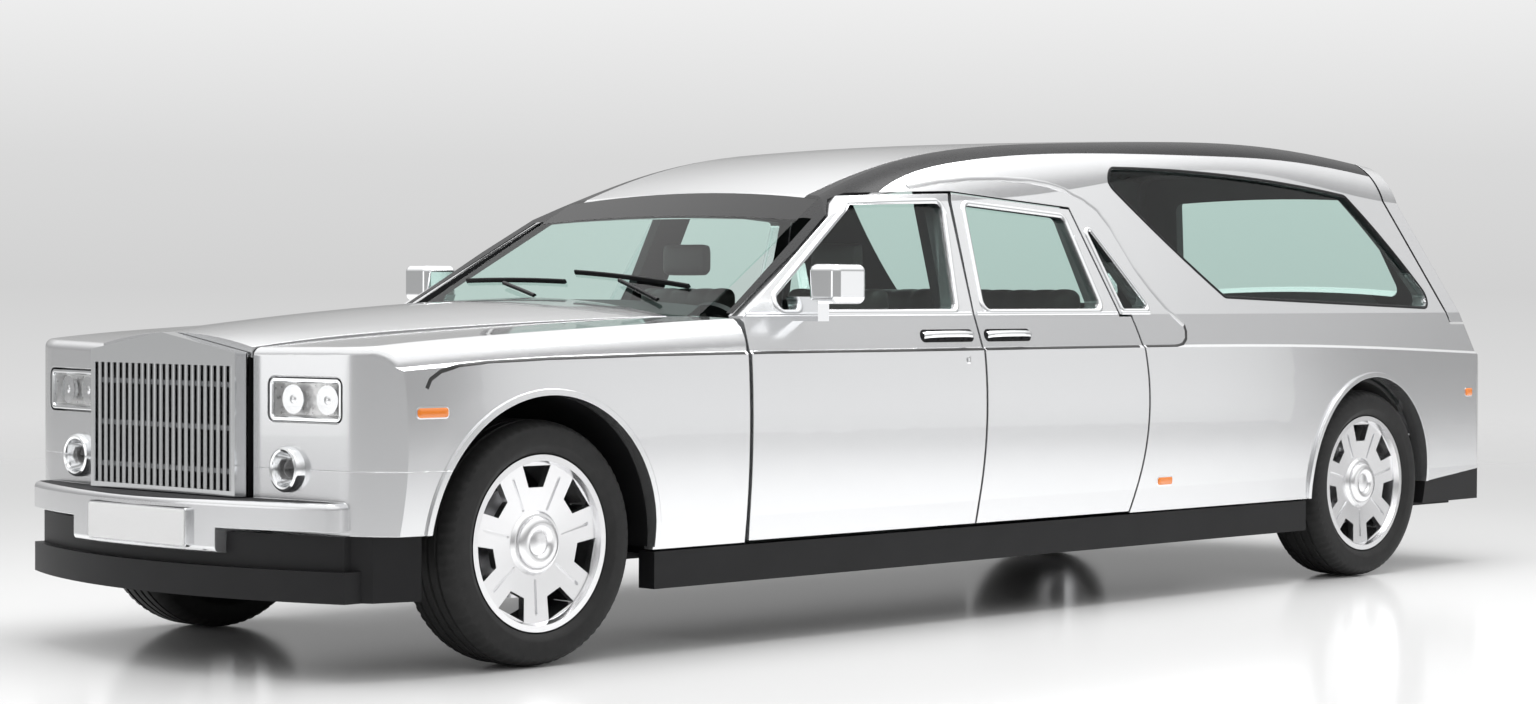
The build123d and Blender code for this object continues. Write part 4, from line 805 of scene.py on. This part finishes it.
# The lamp face of the nose in plan, as (x, y) points at its inner and outer end
NOSE_IN = (3.188, 0.395)
NOSE_OUT = (3.138, 0.780)
LAMP_Y = 0.633
LAMP_Z = 0.861
LAMP_SIZE = (0.298, 0.122)
LAMP_ROUND = 0.016
DISH_LAYERS = ((0, -0.058), (0, -0.012), (0.007, -0.012), (0.012, -0.05))
LENS_MARGIN = 0.015
LENS_ROUND = LAMP_ROUND - 0.007
LENS_LAYERS = ((0, -0.0115), (0.004, -0.009), (0.03, -0.006))
BEZEL_WIDTH = 0.016
BEZEL_RISE = 0.012
BEZEL_SEAT = -0.012
PROJECTOR_SEAT = -0.05
SPOT = (3.1898, 0.566, 0.644)
PROJECTORS = (-0.074, 0.074)
# Turned sections, as (radius, along) pairs
PROJECTOR_BOWL = [(0.046, 0.026), (0.042, 0.024), (0.034, 0.006), (0.024, 0.002), (0.023, 0.016),
                  (0.014, 0.026), (0.004, 0.029)]
SPOT_RING = [(0.072, -0.08), (0.072, -0.006), (0.069, 0.0), (0.062, 0.003), (0.056, 0.0), (0.052, -0.01),
             (0.048, -0.03), (0.03, -0.05), (0.026, -0.052)]
SPOT_EYE = [(0.028, -0.05), (0.028, -0.03), (0.024, -0.022), (0.012, -0.016), (0.002, -0.014)]
SPOT_LENS = [(0.054, -0.012), (0.054, -0.009), (0.03, -0.003), (0.002, -0.001)]


class HEARSE_OT_front_lamps(bpy.types.Operator):
    """Rectangular headlamps and round driving lamps with dishes, lenses and bezels"""

    bl_idname = "hearse.front_lamps"
    bl_label = "Front lamps"

    def execute(self, context):
        for side, turn in SIDES:
            self.headlamp(side, turn)
            self.driving_lamp(side, turn)
        return {"FINISHED"}

    def headlamp(self, side, turn):
        slope = atan2(NOSE_IN[0] - NOSE_OUT[0], NOSE_OUT[1] - NOSE_IN[1])
        share = (LAMP_Y - NOSE_IN[1]) / (NOSE_OUT[1] - NOSE_IN[1])
        origin = Vector((NOSE_IN[0] + share * (NOSE_OUT[0] - NOSE_IN[0]), turn * LAMP_Y, LAMP_Z))
        out = Vector((cos(slope), turn * sin(slope), 0))
        up = Vector((0, 0, 1))
        axes = (up.cross(out), up, out)
        dish = slab_rings(origin, axes, LAMP_SIZE, LAMP_ROUND, DISH_LAYERS)
        piece = make_piece(f"headlamp_dish_{side}", "body", "lamp_clear", "lamp_clear", *stacked(dish))
        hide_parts("headlamps")
        for k, across in enumerate(PROJECTORS):
            centre = origin + axes[0] * across + out * PROJECTOR_SEAT
            make_piece(f"headlamp_projector_{k}_{side}", "body", "chrome", "chrome",
                       *turned(PROJECTOR_BOWL, centre, out, 40))
        lens_size = (LAMP_SIZE[0] - LENS_MARGIN, LAMP_SIZE[1] - LENS_MARGIN)
        lens = slab_rings(origin, axes, lens_size, LENS_ROUND, LENS_LAYERS)
        make_piece(f"headlamp_lens_{side}", "body", "lamp_clear", "lens", *stacked(lens))
        path = rounded_outline(LAMP_SIZE[0], LAMP_SIZE[1], LAMP_ROUND, 8)
        points = [origin + axes[0] * a + up * b + out * BEZEL_SEAT for a, b in path]
        bezel = sweep(points, [out] * len(points), strip_profile(BEZEL_WIDTH, BEZEL_RISE), True)
        make_piece(f"headlamp_bezel_{side}", "body", "chrome", "chrome", *bezel)

    def driving_lamp(self, side, turn):
        centre = Vector((SPOT[0], turn * SPOT[1], SPOT[2]))
        ahead = (1, 0, 0)
        make_piece(f"driving_lamp_{side}", "body", "chrome", "chrome", *turned(SPOT_RING, centre, ahead, 56))
        make_piece(f"driving_lamp_eye_{side}", "body", "lamp_clear", "gloss_black",
                   *turned(SPOT_EYE, centre, ahead, 32))
        make_piece(f"driving_lamp_lens_{side}", "body", "lamp_clear", "lens",
                   *turned(SPOT_LENS, centre, ahead, 48))


PLATE_PLACE = Vector((3.351, 0.016, 0.455))
PLATE_SIZE = (0.52, 0.112)
PLATE_ROUND = 0.008
PLATE_LAYERS = ((0, 0.0), (0, 0.003), (0.003, 0.0045), (0.008, 0.0045), (0.01, 0.0038))
PLATE_SEAT_MARGIN = 0.012
PLATE_SEAT_ROUND = 0.01
PLATE_SEAT_LAYERS = ((0, -0.05), (0, -0.002), (0.002, 0.0))


class HEARSE_OT_number_plate(bpy.types.Operator):
    """Blank number plate on its seat"""

    bl_idname = "hearse.number_plate"
    bl_label = "Number plate"

    def execute(self, context):
        axes = (Vector((0, 1, 0)), Vector((0, 0, 1)), Vector((1, 0, 0)))
        seat_size = (PLATE_SIZE[0] + PLATE_SEAT_MARGIN, PLATE_SIZE[1] + PLATE_SEAT_MARGIN)
        seat = slab_rings(PLATE_PLACE, axes, seat_size, PLATE_SEAT_ROUND, PLATE_SEAT_LAYERS)
        make_piece("number_plate_seat", "body", "silver_paint", "silver_paint", *stacked(seat))
        plate = slab_rings(PLATE_PLACE, axes, PLATE_SIZE, PLATE_ROUND, PLATE_LAYERS)
        make_piece("number_plate", "body", "silver_paint", "plate", *stacked(plate))
        return {"FINISHED"}


CAP = [(0.088, -0.012), (0.086, 0.004), (0.078, 0.013), (0.06, 0.017), (0.046, 0.015), (0.041, 0.01),
       (0.038, 0.006), (0.034, 0.0075), (0.004, 0.009)]
CAP_Y = 0.097
TREAD_R = 0.395
SHOULDER_Y = 0.0945
CROWN_FALL = 0.00044
GROOVE_MIDDLES = (0.062, 0.02)
GROOVE_DEPTH = 0.007
GROOVE_TOP = 0.007
GROOVE_FLOOR = 0.005
NOTCHED_FROM = (0.38, 0.09)
NOTCH_DEPTH = 0.005
BLOCK_STEPS = 3


def tyre_profile():
    """Section of a tyre with four grooves, as (radius, along) pairs."""
    wall = [(0.272, 0.1), (0.287, 0.1), (0.29, 0.112), (0.302, 0.1245), (0.31, 0.1285), (0.313, 0.1305),
            (0.318, 0.1312), (0.34, 0.1325), (0.356, 0.1305), (0.372, 0.1245), (0.382, 0.114),
            (0.391, SHOULDER_Y)]
    grooves = []
    for middle in GROOVE_MIDDLES:
        crown = TREAD_R - CROWN_FALL * (middle / SHOULDER_Y) ** 2
        floor = crown - GROOVE_DEPTH
        grooves.extend([(crown, middle + GROOVE_TOP), (floor, middle + GROOVE_FLOOR),
                        (floor, middle - GROOVE_FLOOR), (crown, middle - GROOVE_TOP)])
    outer = wall + grooves
    return outer + [(radius, -along) for radius, along in outer[::-1]]


class HEARSE_OT_wheels(bpy.types.Operator):
    """Treaded tyres and bare wheel caps"""

    bl_idname = "hearse.wheels"
    bl_label = "Tyres and caps"

    def execute(self, context):
        blocks = context.scene.hearse_sizes.tread_blocks
        profile = tyre_profile()
        least_r, least_y = NOTCHED_FROM
        shoulders = [i for i, (radius, along) in enumerate(profile)
                     if radius > least_r and abs(along) > least_y]

        def notch(segment, index):
            return NOTCH_DEPTH if index in shoulders and segment % BLOCK_STEPS == 0 else 0.0

        for place, x in AXLE_X.items():
            for side, turn in SIDES:
                body = f"{place}_road_wheel_{side}"
                centre = Vector((x, turn * WHEEL_Y, AXLE_Z))
                skin = turned(profile, centre, (0, 1, 0), BLOCK_STEPS * blocks, True, notch)
                name = f"{place}_treaded_tyre_{side}"
                tyre = make_piece(name, body, "tyre_rubber", "tyre_rubber", *skin, sharp=28)
                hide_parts(f"{place}_tyre_{side}")
                cap = turned(CAP, centre + Vector((0, turn * CAP_Y, 0)), (0, turn, 0), 64)
                make_piece(f"{place}_wheel_cap_{side}", body, "alloy", "alloy", *cap)
        return {"FINISHED"}


# Cushions: piece, low and high corner on the left, number of sewn channels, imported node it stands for
CUSHIONS = (
    ("front_seat_base", (0.49, 0.15, 0.42), (0.99, 0.65, 0.69), 5, "front_seats"),
    ("front_seat_back", (0.405, 0.15, 0.7), (0.535, 0.65, 1.235), 5, "front_seats"),
    ("front_headrest", (0.435, 0.27, 1.25), (0.515, 0.53, 1.395), 0, "front_seats"),
    ("rear_seat_base", (-0.59, 0.03, 0.42), (-0.07, 0.69, 0.69), 6, "rear_seat"),
    ("rear_seat_back", (-0.695, 0.03, 0.7), (-0.53, 0.69, 1.235), 6, "rear_seat"),
)
EDGE_SHARE = 0.3
SEAM_REACH = 0.22
SEAM_PULL = 0.007
SWELL_PRESSURE = 4.0
SWELL_FRAMES = 16
SWELL_CAP = 0.012
VOXEL = 0.016


class HEARSE_OT_seats(bpy.types.Operator):
    """Swollen leather seat cushions with sewn channels"""

    bl_idname = "hearse.seats"
    bl_label = "Seats"

    def execute(self, context):
        scene = context.scene
        for name, low, high, channels, node in CUSHIONS:
            verts, faces = self.swollen(scene, Vector(low), Vector(high))
            self.sew(verts, low, high, channels)
            for side, turn in SIDES:
                placed = [(v[0], turn * v[1], v[2]) for v in verts]
                cushion = make_piece(f"{name}_{side}", "body", "leather", "leather", placed, faces, sharp=180)
                smooth = cushion.modifiers.new("soften", "SUBSURF")
                smooth.levels = 1
                smooth.render_levels = 1
                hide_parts(node)
        return {"FINISHED"}

    def swollen(self, scene, low, high):
        """Rounded block blown up by cloth pressure, as vertices and faces."""
        inset = Vector((SWELL_CAP, SWELL_CAP, SWELL_CAP))
        size = high - low - 2 * inset
        shell = bmesh.new()
        bmesh.ops.create_cube(shell, size=1.0)
        bmesh.ops.scale(shell, vec=size, verts=shell.verts)
        bmesh.ops.translate(shell, vec=(low + high) / 2, verts=shell.verts)
        bmesh.ops.bevel(shell, geom=shell.edges, offset=EDGE_SHARE * min(size), segments=3, profile=0.5,
                        affect="EDGES")
        mesh = bpy.data.meshes.new("swelling")
        shell.to_mesh(mesh)
        shell.free()
        pad = bpy.data.objects.new("swelling", mesh)
        scene.collection.objects.link(pad)
        remesh = pad.modifiers.new("remesh", "REMESH")
        remesh.mode = "VOXEL"
        remesh.voxel_size = VOXEL
        start = self.evaluated(pad)
        pad.modifiers.clear()
        pad.data = start
        rest = [v.co.copy() for v in start.vertices]
        self.inflate(scene, pad)
        faces = [tuple(face.vertices) for face in pad.data.polygons]
        verts = []
        for before, vertex in zip(rest, pad.data.vertices):
            step = vertex.co - before
            verts.append(before + step * min(1.0, SWELL_CAP / max(step.length, 1e-9)))
        bpy.data.objects.remove(pad)
        return verts, faces

    def evaluated(self, pad):
        graph = bpy.context.evaluated_depsgraph_get()
        return bpy.data.meshes.new_from_object(pad.evaluated_get(graph))

    def inflate(self, scene, pad):
        cloth = pad.modifiers.new("swell", "CLOTH")
        cloth.settings.use_pressure = True
        cloth.settings.uniform_pressure_force = SWELL_PRESSURE
        cloth.settings.effector_weights.gravity = 0.0
        for step in range(1, SWELL_FRAMES + 1):
            scene.frame_set(step)
        grown_mesh = self.evaluated(pad)
        pad.modifiers.clear()
        pad.data = grown_mesh
        scene.frame_set(1)

    def sew(self, verts, low, high, channels):
        """Pull the skin in along evenly spaced seams across the width."""
        if not channels:
            return
        width = high[1] - low[1]
        middle = (Vector(low) + Vector(high)) / 2
        for v in verts:
            share = (v[1] - low[1]) / width * channels
            seam = abs(share - round(share))
            if 0 < round(share) < channels and seam < SEAM_REACH:
                pull = SEAM_PULL * (1 - seam / SEAM_REACH)
                v += (Vector((middle.x, v[1], middle.z)) - v).normalized() * pull


# Wipers: foot and tip, as (x, y) points over the windscreen
WIPERS = (((1.52, 0.52), (1.36, -0.08)), ((1.52, -0.12), (1.38, -0.66)))
WIPER_STEPS = 14
BLADE_SHIFT = (-0.1, 0.05)
ARM_BEND = 0.02
BLADE_PROFILE = strip_profile(0.012, 0.016)
ARM_PROFILE = [(across, out + 0.012) for across, out in strip_profile(0.014, 0.01)]


class HEARSE_OT_wipers(bpy.types.Operator):
    """Wiper arms and blades resting at the foot of the windscreen"""

    bl_idname = "hearse.wipers"
    bl_label = "Wipers"

    def execute(self, context):
        tree = surface("windscreen")
        for index, (foot, tip) in enumerate(WIPERS):
            blade = self.on_screen(tree, (foot[0] + BLADE_SHIFT[0], foot[1] + BLADE_SHIFT[1]), tip)
            make_piece(f"wiper_blade_{index}", "body", "black_trim", "black_trim",
                       *sweep(*blade, BLADE_PROFILE, False))
            middle = ((foot[0] + tip[0]) / 2 - ARM_BEND, (foot[1] + tip[1]) / 2)
            arm = self.on_screen(tree, foot, middle)
            make_piece(f"wiper_arm_{index}", "body", "black_trim", "gloss_black",
                       *sweep(*arm, ARM_PROFILE, False))
        return {"FINISHED"}

    def on_screen(self, tree, start, end):
        """Points and normals of the windscreen below a straight line."""
        points = []
        normals = []
        for k in range(WIPER_STEPS + 1):
            share = k / WIPER_STEPS
            x = start[0] + (end[0] - start[0]) * share
            y = start[1] + (end[1] - start[1]) * share
            place, normal, _, _ = tree.ray_cast(Vector((x, y, FAR)), Vector((0, 0, -1)))
            if place is None:
                raise RuntimeError("wiper misses the windscreen")
            points.append(place)
            normals.append(normal if normal.z > 0 else -normal)
        return points, normals


MIRROR_Y = 1.081
MIRROR_Z = 1.228
MIRROR_GAP = 0.0005
MIRROR_SIZE = (0.1, 0.1)
MIRROR_ROUND = 0.02
MIRROR_LAYERS = ((0, -0.001), (0, 0.001), (0.002, 0.002), (0.02, 0.0022))


class HEARSE_OT_mirrors(bpy.types.Operator):
    """Mirror glass in the back of each door mirror"""

    bl_idname = "hearse.mirrors"
    bl_label = "Mirror glass"

    def execute(self, context):
        for side, turn in SIDES:
            low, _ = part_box(f"mirror_{side}")
            origin = Vector((low[0] - MIRROR_GAP, turn * MIRROR_Y, MIRROR_Z))
            axes = (Vector((0, -1, 0)), Vector((0, 0, 1)), Vector((-1, 0, 0)))
            rings = slab_rings(origin, axes, MIRROR_SIZE, MIRROR_ROUND, MIRROR_LAYERS)
            make_piece(f"mirror_glass_{side}", f"front_door_body_{side}", "chrome", "chrome", *stacked(rings))
        return {"FINISHED"}


# Studio
PHOTO_WIDTH = 1536
SENSOR_WIDTH = 36.0
VIEW_REACH = 400.0
FLOOR_SIZE = 120.0
FLOOR_Z = -0.001
FLOOR_FADE = (6.0, 20.0)
# Grey levels by height of view, as (height, level) pairs: behind the car, and in its reflections
BACKDROP = ((-0.13, 0.9), (-0.06, 0.78), (0.0, 0.64), (0.04, 0.7), (0.09, 0.86))
REFLECTED = ((-1.0, 1.0), (-0.1, 0.55), (0.06, 0.36), (0.3, 0.62), (0.6, 1.3))
# Softboxes: name, place, target, size, power
SOFTBOXES = (
    ("overhead_softbox", (0.3, 0.8, 5.6), (0.0, 0.0, 0.0), (8.0, 3.2), 420),
    ("side_softbox", (-5.5, 7.0, 1.3), (-0.8, 0.9, 0.7), (6.0, 2.2), 25),
    ("front_softbox", (9.3, -2.8, 1.6), (3.1, 0.3, 0.7), (4.0, 2.4), 28),
)


def area_light(name, place, target, size, power):
    """Soft rectangular studio light."""
    lamp = bpy.data.lights.new(name, "AREA")
    lamp.shape = "RECTANGLE"
    lamp.size, lamp.size_y = size
    lamp.energy = power
    item = bpy.data.objects.new(name, lamp)
    bpy.context.scene.collection.objects.link(item)
    item.location = place
    item.rotation_mode = "QUATERNION"
    item.rotation_quaternion = (Vector(target) - Vector(place)).to_track_quat("-Z", "Y")


class HEARSE_OT_stage(bpy.types.Operator):
    """Floor, studio light and camera"""

    bl_idname = "hearse.stage"
    bl_label = "Studio"

    def execute(self, context):
        self.floor()
        self.lights(context.scene)
        self.camera(context.scene, context.scene.hearse_studio)
        context.scene.view_settings.view_transform = "Standard"
        return {"FINISHED"}

    def floor(self):
        """Pale glossy floor that fades out far from the car."""
        bpy.ops.mesh.primitive_plane_add(size=FLOOR_SIZE, location=(0, 0, FLOOR_Z))
        floor = bpy.context.object
        floor.name = "studio_floor"
        finish = Finish("pale_floor")
        cloud = finish.noise(0.3)
        finish.set(Base_Color=finish.mix(cloud, grey(0.86), grey(0.9)), Roughness=0.14)
        distance = finish.vector("LENGTH", finish.place(), (0, 0, 0), "Value")
        clear = finish.node("ShaderNodeBsdfTransparent", {}, {}, "BSDF")
        solid = Value(finish, finish.shader.outputs["BSDF"])
        fade = finish.smooth_step(distance, *FLOOR_FADE)
        finish.blend_shaders(fade, solid, clear)
        floor.data.materials.append(finish.material)

    def lights(self, scene):
        for name, place, target, size, power in SOFTBOXES:
            area_light(name, place, target, size, power)
        world = bpy.data.worlds.new("studio_world")
        scene.world = world
        world.use_nodes = True
        room = Graph(world.node_tree)
        height = self.direction(room)
        backdrop = self.tones(room, height, BACKDROP)
        reflected = self.tones(room, height, REFLECTED)
        seen = room.node("ShaderNodeLightPath", {}, {}, "Is Camera Ray")
        shown = room.mix(seen, reflected, backdrop)
        room.tree.links.new(shown.socket, room.tree.nodes["Background"].inputs["Color"])

    def direction(self, room):
        """Upward part of the direction looked along."""
        heading = room.node("ShaderNodeTexCoord", {}, {}, "Generated")
        return room.vector("DOT_PRODUCT", heading, (0, 0, 1), "Value")

    def tones(self, room, height, stops):
        """Grey levels by height, as (height, level) pairs."""
        low = stops[0][0]
        span = stops[-1][0] - low
        colour = room.node("ShaderNodeValToRGB", {}, {"Fac": (height - low) * (1 / span)}, "Color")
        ramp = colour.socket.node.color_ramp
        while len(ramp.elements) < len(stops):
            ramp.elements.new(1.0)
        for element, (place, level) in zip(ramp.elements, stops):
            element.position = (place - low) / span
            element.color = grey(level)
        return colour

    def camera(self, scene, studio):
        lens = bpy.data.cameras.new("photo_camera")
        lens.sensor_width = SENSOR_WIDTH
        lens.lens = studio.focal_pixels * SENSOR_WIDTH / PHOTO_WIDTH
        lens.clip_end = VIEW_REACH
        item = bpy.data.objects.new("photo_camera", lens)
        scene.collection.objects.link(item)
        level = Vector((-sin(studio.yaw), -cos(studio.yaw), 0.0))
        ahead = level * cos(studio.pitch) - Vector((0, 0, sin(studio.pitch)))
        right = Vector((-cos(studio.yaw), sin(studio.yaw), 0.0))
        up = right.cross(ahead)
        right_rolled = right * cos(studio.roll) + up * sin(studio.roll)
        up_rolled = up * cos(studio.roll) - right * sin(studio.roll)
        turn = Matrix((right_rolled, up_rolled, -ahead)).transposed()
        item.matrix_world = Matrix.Translation(studio.camera_place) @ turn.to_4x4()
        scene.camera = item


class HEARSE_PT_panel(bpy.types.Panel):
    """Lists the hearse's steps and values"""

    bl_label = "Hearse"
    bl_idname = "HEARSE_PT_panel"
    bl_space_type = "VIEW_3D"
    bl_region_type = "UI"
    bl_category = "Hearse"

    def draw(self, context):
        for name in GROUPS:
            group = getattr(context.scene, name)
            for value in group.__annotations__:
                self.layout.prop(group, value)
        for step in STEPS:
            self.layout.operator(step.bl_idname)


GROUPS = {"hearse_look": HearseLook, "hearse_sizes": HearseSizes, "hearse_studio": HearseStudio}
STEPS = (HEARSE_OT_finishes, HEARSE_OT_window_frames, HEARSE_OT_side_lines, HEARSE_OT_handles,
         HEARSE_OT_markers, HEARSE_OT_front_lamps, HEARSE_OT_number_plate, HEARSE_OT_wheels, HEARSE_OT_seats,
         HEARSE_OT_wipers, HEARSE_OT_mirrors, HEARSE_OT_stage)


def register():
    for item in (*GROUPS.values(), *STEPS, HEARSE_PT_panel):
        bpy.utils.register_class(item)
    for name, group in GROUPS.items():
        setattr(bpy.types.Scene, name, PointerProperty(type=group))


def unregister():
    for name in GROUPS:
        delattr(bpy.types.Scene, name)
    for item in reversed((*GROUPS.values(), *STEPS, HEARSE_PT_panel)):
        bpy.utils.unregister_class(item)


def main():
    register()
    for step in STEPS:
        group, name = step.bl_idname.split(".")
        getattr(getattr(bpy.ops, group), name)()


if __name__ == "__main__":
    main()
